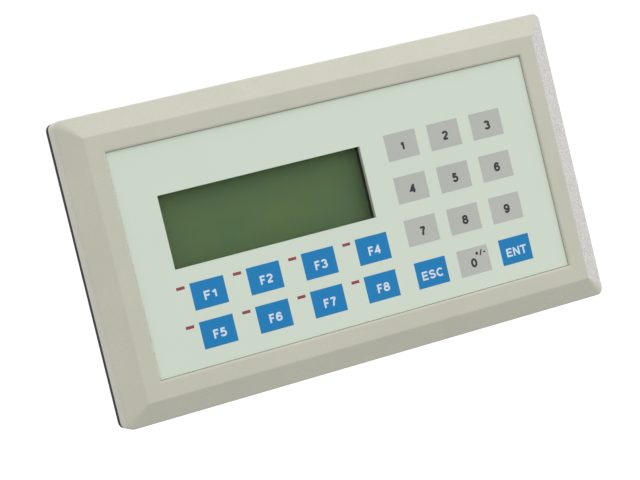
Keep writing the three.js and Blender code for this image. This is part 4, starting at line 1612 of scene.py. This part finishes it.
@dataclass
class SerialPort:
    """The nine-way socket: flange, D-shaped shell, insulator and contacts.

    Attributes:
        shell: Width and height of the shell.
        slant: How far its short sides lean in.
        corner: Corner radius of the shell and the flange.
        wall: Thickness of the shell.
        shell_edge: Rounding of the shell's edges.
        shell_lap: How far the shell is fused into the flange.
        flange: Width, height and thickness of the flange.
        flange_edge: Rounding of the flange's edges.
        flange_sunk: How far the flange lies in front of the cover's rear face.
        jack_spacing: Distance between the holes for the jack screws.
        jack_hole: Radius of those holes.
        body: Width and height of the insulator behind the flange.
        body_corner: Its corner radius.
        neck: How far the insulator inside the shell reaches in front of the flange.
        room: Room round the insulator.
        sunk: How far the insulator lies inside the shell.
        pitch: Distance between contacts.
        rows: Contacts in each row.
        well: Radius and depth of each ring of a contact's hole, from the insulator's face.
        sleeve: Radius and depth of each ring of a contact, from the insulator's face.
    """

    shell: Point = (16.9, 8.3)
    slant: float = 1.4
    corner: float = 1.2
    wall: float = 0.5
    shell_edge: float = 0.2
    shell_lap: float = 0.7
    flange: Spot = (30.8, 12.5, 1.0)
    flange_edge: float = 0.15
    flange_sunk: float = 2.1
    jack_spacing: float = 25.0
    jack_hole: float = 1.5
    body: Point = (19.0, 11.5)
    body_corner: float = 0.4
    neck: float = 0.5
    room: float = 0.05
    sunk: float = 0.4
    pitch: float = 2.77
    rows: tuple[int, int] = (5, 4)
    well: tuple[Point, ...] = ((0.62, -4.0), (0.62, -0.3), (0.85, 0.1))
    sleeve: tuple[Point, ...] = ((0.56, -3.9), (0.56, -0.5), (0.36, -0.45), (0.36, -3.5))

    def outline(self, middle: Point, margin: float) -> list[Point]:
        """Draw the D with rounded corners.

        Args:
            middle: Its centre.
            margin: How much wider it is drawn all round.

        Returns:
            The outline.
        """
        half, top = self.shell[0] / 2 + margin, self.shell[1] / 2 + margin
        foot = half - self.slant
        loop = [(0, top), (-half, top), (-foot, -top), (foot, -top), (half, top), (0, top)]
        line = eased(loop, [0, *[self.corner] * 4, 0], 4)[:-1]
        return [(middle[0] + x, middle[1] + z) for x, z in line]

    def build(self) -> None:
        """Build the socket."""
        port, cover = Extent.of("serial_port"), Extent.of("rear_cover")
        back = cover.back - self.flange_sunk
        front = back - self.flange[2]
        self.metal(port, front, back)
        face = port.back - self.sunk
        behind = rectangle(*self.body, port.middle, self.body_corner, 2)
        core = Solid.slab(behind, port.front, front - self.room)
        core.join(Solid.slab(self.outline(port.middle, -self.wall - self.room), front - self.neck, face))
        wells, contacts = [], Solid()
        for row, count in enumerate(self.rows):
            for i in range(count):
                across, up = (i - (count - 1) / 2) * self.pitch, (0.5 - row) * self.pitch
                place = (port.middle[0] + across, port.middle[1] + up)
                wells.append(Solid.turned([(r, face + y) for r, y in self.well], place, 16))
                contacts.add(Solid.turned([(r, face + y) for r, y in self.sleeve], place, 16))
        core.cut(*wells)
        core.piece("serial_insulator", Palette.SOCKET_BLACK)
        contacts.piece("serial_contacts", Palette.CONTACT)

    def metal(self, port: Extent, front: float, back: float) -> None:
        """Build the flange and the shell.

        Args:
            port: The socket's box.
            front: Depth of the flange's front.
            back: Depth of its back.
        """
        middle = port.middle
        plate = rectangle(self.flange[0], self.flange[1], middle, self.corner, 4)
        metal = Solid.slab(plate, front, back).soften(self.flange_edge)
        shell_front = back - self.shell_lap
        metal.join(Solid.slab(self.outline(middle, 0), shell_front, port.back).soften(self.shell_edge))
        tools = [Solid.slab(self.outline(middle, -self.wall), front - PAST, port.back + PAST)]
        for side in (1, -1):
            place = (middle[0] + side * self.jack_spacing / 2, middle[1])
            tools.append(Solid.rod(self.jack_hole, front - PAST, back + PAST, place))
        metal.cut(*tools)
        metal.piece("serial_shell", Palette.SHELL, replaces=["serial_port"])


@dataclass
class Fasteners:
    """Jack screws, cover screws, clamps and clamp screws.

    Attributes:
        jack_head: Share of the radius, and depth from its end, of each ring of a jack screw's hexagon.
        jack_shank: Radius of a jack screw's shank.
        jack_lap: How far the shank is fused into the hexagon.
        jack_bore: Radius and depth of each ring of a jack screw's bore, from its end.
        recess: Length and width of a cross recess.
        recess_depth: Its depth.
        recess_corner: Corner radius of its ends.
        shank_radius: Radius of a cover screw's shank.
        head_depth: Depth of its head.
        head_round: Rounding of its head.
        tip: Radius of the flat in the middle of a rounded head.
        lip: How far a clamp's lip reaches forwards behind the box's wall.
        lip_height: Thickness of the lip.
        stem: Depth of the hook's stem.
        hook_half: Half the hook's width.
        wall_gap: Gap between a clamp and the box's wall.
        trim: How far a clamp's outer face stays inside its box.
        slope: How far a clamp's sloping back runs forwards and falls.
        clamp_rounds: Rounding of each corner of a clamp's side outline.
        pocket_rim: How much shorter and lower than the clamp the pockets in its sides are.
        pocket_shift: How far the pockets lie in front of and inside the clamp's middle.
        pocket_corner: Corner radius of the pockets.
        pocket_depth: Their depth.
        clamp_bore: Radius of the bore that takes the screw.
        thread_radius: Radius of a clamp screw's thread.
        thread_pitch: Its pitch.
        thread_depth: Its depth.
        thread_steps: Rings in each turn of it, and facets in each ring.
        foot: Radius and depth of a clamp screw's foot.
        foot_neck: Radius where the foot meets the thread.
        knob_depth: Depth of a clamp screw's head.
        knob_teeth: How many ridges and hollows its knurl has.
        knurl: Depth of the knurl.
        overlap: How far the foot and head reach over the thread's ends.
        slot: Width and depth of a clamp screw's slot.
    """

    jack_head: tuple[Point, ...] = ((1.0, -7.0), (1.0, -0.5), (0.9, 0.0))
    jack_shank: float = 1.35
    jack_lap: float = 0.5
    jack_bore: tuple[Point, ...] = ((1.2, -2.5), (1.2, -0.3), (1.65, 0.15))
    recess: Point = (3.0, 0.75)
    recess_depth: float = 0.95
    recess_corner: float = 0.15
    shank_radius: float = 1.4
    head_depth: float = 1.9
    head_round: float = 1.3
    tip: float = 0.05
    lip: float = 2.0
    lip_height: float = 0.9
    stem: float = 3.0
    hook_half: float = 3.5
    wall_gap: float = 0.3
    trim: float = 0.1
    slope: Point = (3.5, 4.5)
    clamp_rounds: tuple[float, ...] = (0, 1.2, 1.2, 0.5, 0.3, 0.3, 0.3, 0.2, 0.2, 0)
    pocket_rim: Point = (4.4, 6.4)
    pocket_shift: Point = (0.6, 1.0)
    pocket_corner: float = 0.8
    pocket_depth: float = 0.8
    clamp_bore: float = 2.15
    thread_radius: float = 2.0
    thread_pitch: float = 0.7
    thread_depth: float = 0.3
    thread_steps: tuple[int, int] = (5, 20)
    foot: Point = (2.6, 1.5)
    foot_neck: float = 1.6
    knob_depth: float = 3.0
    knob_teeth: int = 72
    knurl: float = 0.15
    overlap: float = 0.02
    slot: Point = (0.8, 1.2)

    def jack(self, node: str) -> None:
        """Build one hexagonal jack screw with chamfered corners.

        Args:
            node: The CAD node that it replaces.
        """
        jack = Extent.of(node)
        radius, end = max(jack.width, jack.height) / 2, jack.back
        facets = math.pi / 6 if jack.height > jack.width else 0.0
        head = [(radius * share, end + y) for share, y in self.jack_head]
        body = Solid.turned(head, jack.middle, 6, facets)
        body.join(Solid.rod(self.jack_shank, jack.front, head[0][1] + self.jack_lap, jack.middle, 24))
        bore = Solid.turned([(r, end + y) for r, y in self.jack_bore], jack.middle, 24)
        body.cut(bore).soften(0.08, 2, 50)
        body.piece(node.replace("jack_screw", "jack_nut"), Palette.SCREW, replaces=[node])

    def cover_screw(self, node: str) -> None:
        """Build one pan-head screw with a cross recess.

        Args:
            node: The CAD node that it replaces.
        """
        screw = Extent.of(node)
        radius, under = screw.width / 2, screw.back - self.head_depth
        line = [(radius, under), (radius, screw.back), (self.tip, screw.back)]
        head = eased(line, [0, self.head_round, 0], 8)
        shank = [(self.shank_radius, screw.front), (self.shank_radius, under)]
        body = Solid.turned([*shank, *head], screw.middle, 40)
        floor = screw.back - self.recess_depth
        arms = []
        for size in (self.recess, self.recess[::-1]):
            outline = rectangle(*size, screw.middle, self.recess_corner, 2)
            arms.append(Solid.slab(outline, floor, screw.back + PAST))
        body.cut(arms[0].join(arms[1])).soften(0.06, 2, 50)
        body.piece(node.replace("housing_screw", "cover_screw"), Palette.SCREW, replaces=[node])

    def clamp(self, node: str) -> None:
        """Build one clamp: a hook in the box's wall, a body with pockets in its sides, and a sloping back.

        Args:
            node: The CAD node that it replaces.
        """
        clamp, box = Extent.of(node), Extent.of("rear_housing")
        screw = Extent.of(node.replace("clamp", "clamp_screw"))
        x, up = clamp.middle[0], math.copysign(1.0, clamp.middle[1])
        foot, outer = sorted((abs(clamp.low[2]), abs(clamp.high[2])))
        inner, roof = box.height / 2 + self.wall_gap, outer - self.trim
        front, back = clamp.front + self.lip, clamp.back
        stem, lip_top = front + self.stem, foot + self.lip_height
        run, fall = self.slope
        line = [
            (front, roof), (back - run, roof), (back, outer - fall), (back, inner), (stem, inner),
            (stem, foot), (clamp.front, foot), (clamp.front, lip_top), (front, lip_top), (front, roof),
        ]
        side = eased(line, self.clamp_rounds, 3)[:-1]
        half = clamp.width / 2
        body = Solid.loft([[(x + s, y, up * z) for y, z in side] for s in (-half, half)])
        narrow, middle = half - self.hook_half, (front + back) / 2
        bottom, top = sorted((up * (foot - PAST), up * inner))
        pocket_size = (back - front - self.pocket_rim[0], outer - inner - self.pocket_rim[1])
        pocket_place = (middle - self.pocket_shift[0], (outer + inner) / 2 - self.pocket_shift[1])
        pocket = rectangle(*pocket_size, pocket_place, self.pocket_corner, 3)
        for way in (1, -1):
            place = (x + way * (half - narrow / 2 + PAST / 2), middle)
            cheek = rectangle(narrow + PAST, back - clamp.front + 4 * PAST, place)
            depths = (half - self.pocket_depth, half + PAST)
            recess = [[(x + way * s, y, up * z) for y, z in pocket] for s in depths]
            body.cut(upright(cheek, bottom, top)).cut(Solid.loft(recess))
        bore = Solid.rod(self.clamp_bore, clamp.front - PAST, back + PAST, screw.middle, 24)
        body.cut(bore).soften(0.22, 2, 40)
        body.piece(node + "_body", Palette.CLAMP, replaces=[node])

    def thread(self, middle: Point, front: float, back: float) -> Solid:
        """Build a clamp screw's threaded shank.

        Args:
            middle: Its axis in X and Z.
            front: Depth of its front end.
            back: Depth of its back end.

        Returns:
            The shank.
        """
        per_turn, columns = self.thread_steps
        rows = int((back - front) / self.thread_pitch * per_turn)
        loops = []
        for row in range(rows + 1):
            y = front + (back - front) * row / rows
            loop = []
            for column in range(columns):
                turn = column / columns
                phase = (y / self.thread_pitch - turn) % 1.0
                depth = self.thread_depth * abs(2 * phase - 1) if 0 < row < rows else 0.0
                r = self.thread_radius - depth
                along, up = r * math.cos(math.tau * turn), r * math.sin(math.tau * turn)
                loop.append((middle[0] + along, y, middle[1] + up))
            loops.append(loop)
        return Solid.loft(loops)

    def knob(self, screw: Extent, front: float) -> Solid:
        """Build a clamp screw's slotted, knurled head.

        Args:
            screw: The screw's box.
            front: Depth of the head's front.

        Returns:
            The head.
        """
        (x, z), radius = screw.middle, screw.width / 2
        profile = eased([(radius, front), (radius, screw.back), (2 * self.tip, screw.back)], [0, 0.4, 0], 4)
        loops = []
        for r, y in profile:
            loop = []
            for step in range(self.knob_teeth):
                turn = math.tau * step / self.knob_teeth
                reach = r - (self.knurl if step % 2 and r > radius - 2 * self.knurl else 0.0)
                loop.append((x + reach * math.cos(turn), y, z + reach * math.sin(turn)))
            loops.append(loop)
        width, deep = self.slot
        slot = rectangle(2 * radius + 2 * PAST, width, (x, z))
        return Solid.loft(loops).cut(Solid.slab(slot, screw.back - deep, screw.back + PAST))

    def clamp_screw(self, node: str) -> None:
        """Build one clamp screw with its foot, thread and head.

        Args:
            node: The CAD node that it replaces.
        """
        screw = Extent.of(node)
        radius, depth = self.foot
        foot, head = screw.front + depth, screw.back - self.knob_depth
        end = foot + self.overlap
        line = [(2 * self.tip, screw.front), (radius, screw.front), (radius, end), (self.foot_neck, end)]
        pad = Solid.turned(eased(line, [0, 0.3, 0.3, 0], 4), screw.middle)
        shank = self.thread(screw.middle, foot, head).add(pad, self.knob(screw, head - self.overlap))
        shank.piece(node + "_turned", Palette.SCREW, node, [node])

    def build(self) -> None:
        """Build every fastener."""
        self.jack("jack_screw_left")
        self.jack("jack_screw_right")
        for node in screw_nodes("housing_screw"):
            self.cover_screw(node)
        for node in screw_nodes("clamp"):
            self.clamp(node)
        for node in screw_nodes("clamp_screw"):
            self.clamp_screw(node)


@dataclass
class Terminal:
    """The three-pole screw terminal.

    Attributes:
        poles: How many poles.
        pitch: Distance between them.
        edge: Rounding of the block's edges.
        entry: Size of a wire entry.
        entry_depth: Its depth.
        well_depth: Depth of the hole that leads to a screw.
        fit: How much smaller than its hole a cage or screw is.
        cage: How far a cage's front and back lie in front of the block's rear face.
        cage_floor: How far its floor lies in front of that face.
        cage_wall: Its thickness.
        screw: How far a screw head's front and back lie in front of that face.
        slot: Length, width and depth, from that face, of a screw's slot.
        divider: Width and depth of the grooves between the poles.
    """

    poles: int = 3
    pitch: float = 5.08
    edge: float = 0.4
    entry: float = 2.8
    entry_depth: float = 5.5
    well_depth: float = 2.2
    fit: float = 0.1
    cage: Point = (5.3, 1.2)
    cage_floor: float = 4.5
    cage_wall: float = 0.4
    screw: Point = (2.1, 0.9)
    slot: Spot = (3.0, 0.55, 1.5)
    divider: Point = (0.4, 0.35)

    def wire_cage(self, middle: Point, end: float) -> Solid:
        """Build the cage that grips one wire.

        Args:
            middle: Its middle.
            end: Depth of the block's rear face.

        Returns:
            The cage.
        """
        side = self.entry - self.fit
        hole = side - 2 * self.cage_wall
        cage = Solid.slab(rectangle(side, side, middle, 0.25, 2), end - self.cage[0], end - self.cage[1])
        return cage.cut(Solid.slab(rectangle(hole, hole, middle, 0.2, 2), end - self.cage_floor, end))

    def screw_head(self, middle: Point, end: float) -> Solid:
        """Build the slotted head of one clamping screw.

        Args:
            middle: Its middle.
            end: Depth of the block's rear face.

        Returns:
            The head.
        """
        radius, (front, back) = self.entry / 2 - self.fit, self.screw
        profile = eased([(radius, end - front), (radius, end - back), (0.05, end - back)], [0, 0.5, 0], 4)
        long, wide, deep = self.slot
        groove = Solid.slab(rectangle(long, wide, middle), end - deep, end)
        return Solid.turned(profile, middle, 32).cut(groove)

    def build(self) -> None:
        """Build the block, its clamping cages and its screws."""
        block = Extent.of("power_terminal")
        x0, z0 = block.middle
        height, end = block.height, block.back
        body = Solid.slab(rectangle(block.width, height, block.middle), block.front, end).soften(self.edge, 3)
        tools, cages, screws = [], Solid(), Solid()
        for pole in range(self.poles):
            x = x0 + (pole - (self.poles - 1) / 2) * self.pitch
            low, high = (x, z0 - height / 4), (x, z0 + height / 4)
            mouth = rectangle(self.entry, self.entry, low, 0.3, 2)
            tools.append(Solid.slab(mouth, end - self.entry_depth, end + PAST))
            tools.append(Solid.rod(self.entry / 2, end - self.well_depth, end + PAST, high, 24))
            cages.add(self.wire_cage(low, end))
            screws.add(self.screw_head(high, end))
        wide, deep = self.divider
        for pole in range(1, self.poles):
            x = x0 + (pole - self.poles / 2) * self.pitch
            tools.append(Solid.slab(rectangle(wide, height + 2 * PAST, (x, z0)), end - deep, end + PAST))
        body.cut(*tools)
        body.piece("terminal_block", Palette.TERMINAL, replaces=["power_terminal"])
        cages.piece("terminal_cages", Palette.CONTACT)
        screws.piece("terminal_screws", Palette.SCREW)


class Internals:
    """The layers inside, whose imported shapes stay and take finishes, and the parts on the main board."""

    WEAR: dict[str, Palette] = {
        "dome_sheet": Palette.DOMES,
        "keypad_board": Palette.BOARD,
        "lcd_backlight": Palette.LIGHT_GUIDE,
        "lcd_board": Palette.BOARD,
        "keypad_cable": Palette.CABLE,
        "lcd_cable": Palette.CABLE,
        "main_board": Palette.BOARD,
        "processor": Palette.CHIP,
    }

    def build(self, nodes: dict[str, bpy.types.Object]) -> None:
        """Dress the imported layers.

        Args:
            nodes: The CAD nodes by name.
        """
        for node, finish in self.WEAR.items():
            nodes[node].data.materials.clear()
            nodes[node].data.materials.append(finish.material())
            LOG.info("%s keeps its packed shape, in %s", node, finish.name)


# ---- Studio -----------------------------------------------------------------------------------------------


@dataclass
class Studio:
    """Camera, soft light and a plain pale floor.

    Attributes:
        azimuth: The camera's bearing to the left of straight on, in degrees.
        elevation: Its height above level, in degrees.
        roll: Its roll, in degrees.
        lens: Focal length in millimetres on a 36 mm sensor.
        distance: From the aim point, in millimetres.
        aim: Aim point on the face, from the face's centre.
        dome: Brightness of the surrounding light.
        dome_lean: How much brighter it is to the right and above.
        key_power: Power of the large light above, in watts.
        key_size: Its side.
        key_place: Where it hangs.
        side_power: Power of the small light on the right, in watts.
        side_size: Its side.
        side_place: Where it hangs.
        side_colour: Its colour.
        floor_drop: The floor's distance below the panel.
        floor_size: The floor's side.
    """

    azimuth: float = 22.43
    elevation: float = 2.764
    roll: float = -13.602
    lens: float = 115.54
    distance: float = 706.35
    aim: Point = (-12.33, -7.09)
    dome: float = 0.98
    dome_lean: Point = (0.12, 0.42)
    key_power: float = 1.3
    key_size: float = 500.0
    key_place: Spot = (520.0, -700.0, 760.0)
    side_power: float = 1.5
    side_size: float = 110.0
    side_place: Spot = (900.0, 60.0, 60.0)
    side_colour: Colour = (0.74, 0.66, 1.0)
    floor_drop: float = 90.0
    floor_size: float = 60000.0

    def camera(self, face: Face) -> None:
        """Place the camera.

        Args:
            face: Layout of the face.
        """
        turn, tilt, roll = (math.radians(angle) for angle in (self.azimuth, self.elevation, self.roll))
        forward = Vector((math.sin(turn) * math.cos(tilt), math.cos(turn) * math.cos(tilt), -math.sin(tilt)))
        level = forward.cross(Vector((0, 0, 1))).normalized()
        raised = level.cross(forward)
        right = level * math.cos(roll) + raised * math.sin(roll)
        up = right.cross(forward)
        across, height = face.film.middle
        target = Vector((across + self.aim[0], face.film.front, height + self.aim[1]))
        lens = bpy.data.cameras.new("studio_camera")
        lens.lens = self.lens
        lens.sensor_width = 36.0
        lens.clip_start = 0.01
        lens.clip_end = 200.0
        camera = bpy.data.objects.new("studio_camera", lens)
        rotation = Matrix((right, up, -forward)).transposed().to_4x4()
        camera.matrix_world = Matrix.Translation((target - forward * self.distance) * MM) @ rotation
        bpy.context.scene.collection.objects.link(camera)
        bpy.context.scene.camera = camera

    def surroundings(self) -> None:
        """Surround the panel with soft light that is brighter to the right and above."""
        world = bpy.data.worlds.new("soft_studio")
        bpy.context.scene.world = world
        world.use_nodes = True
        nodes, links = world.node_tree.nodes, world.node_tree.links
        place = nodes.new("ShaderNodeTexCoord")
        lean = nodes.new("ShaderNodeVectorMath")
        lean.operation = "DOT_PRODUCT"
        links.new(place.outputs["Generated"], lean.inputs[0])
        lean.inputs[1].default_value = (self.dome_lean[0], 0.0, self.dome_lean[1])
        level = nodes.new("ShaderNodeMath")
        level.operation = "MULTIPLY_ADD"
        links.new(lean.outputs["Value"], level.inputs[0])
        level.inputs[1].default_value = self.dome
        level.inputs[2].default_value = self.dome
        backdrop = nodes.new("ShaderNodeMath")
        backdrop.operation = "MAXIMUM"
        links.new(level.outputs[0], backdrop.inputs[0])
        links.new(nodes.new("ShaderNodeLightPath").outputs["Is Camera Ray"], backdrop.inputs[1])
        links.new(backdrop.outputs[0], nodes["Background"].inputs["Strength"])
        nodes["Background"].inputs["Color"].default_value = (1.0, 0.995, 1.0, 1.0)

    @staticmethod
    def soft_light(name: str, place_mm: Spot, size: float, power: float, colour: Colour,
                   mirrored: bool) -> None:
        """Hang one square soft light that faces the panel.

        Args:
            name: The light's name.
            place_mm: Where it hangs, in millimetres.
            size: Its side in millimetres.
            power: Its power in watts.
            colour: Its colour.
            mirrored: Whether shiny pieces reflect it.
        """
        light = bpy.data.lights.new(name, "AREA")
        light.shape = "SQUARE"
        light.size = size * MM
        light.energy = power
        light.color = colour
        lamp = bpy.data.objects.new(name, light)
        place = Vector(place_mm) * MM
        lamp.location = place
        lamp.rotation_euler = (-place).to_track_quat("-Z", "Y").to_euler()
        lamp.visible_glossy = mirrored
        bpy.context.scene.collection.objects.link(lamp)

    def floor(self, low: float) -> None:
        """Lay the floor.

        Args:
            low: Height of the panel's lowest point, in metres.
        """
        half = self.floor_size / 2 * MM
        z = low - self.floor_drop * MM
        data = bpy.data.meshes.new("studio_floor")
        corners = [(-half, -half, z), (half, -half, z), (half, half, z), (-half, half, z)]
        data.from_pydata(corners, [], [(0, 1, 2, 3)])
        sheet = Sheet("studio_floor")
        sheet.set(Base_Color=(0.9, 0.9, 0.9, 1.0), Roughness=0.9, Specular_IOR_Level=0.0)
        data.materials.append(sheet.material)
        floor = bpy.data.objects.new("studio_floor", data)
        bpy.context.scene.collection.objects.link(floor)
        floor.visible_diffuse = False
        floor.visible_glossy = False
        floor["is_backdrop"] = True

    def build(self, face: Face, low: float) -> None:
        """Set the studio up.

        Args:
            face: Layout of the face.
            low: Height of the panel's lowest point, in metres.
        """
        bpy.context.scene.view_settings.view_transform = "Standard"
        self.camera(face)
        self.surroundings()
        white = (1.0, 1.0, 1.0)
        self.soft_light("key_light", self.key_place, self.key_size, self.key_power, white, True)
        violet = self.side_colour
        self.soft_light("side_light", self.side_place, self.side_size, self.side_power, violet, False)
        self.floor(low)


def main() -> None:
    """Build the panel round its frame."""
    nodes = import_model()["nodes"]
    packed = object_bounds()
    face = Face(nodes)
    Studio().build(face, packed[0][2])
    FrontFrame().build(face)
    Overlay().build(face)
    Keypad().build(face)
    Display().build(face)
    Gasket().build()
    housing = Housing()
    housing.box()
    housing.cover()
    SerialPort().build()
    Terminal().build()
    Fasteners().build()
    Internals().build(nodes)
    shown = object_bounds()
    boxes = {"cad": packed, "visual": shown}
    {name: [list(corner) for corner in box] for name, box in boxes.items()}


if __name__ == "__main__":
    logging.basicConfig(level=logging.INFO, format="%(message)s")
    main()
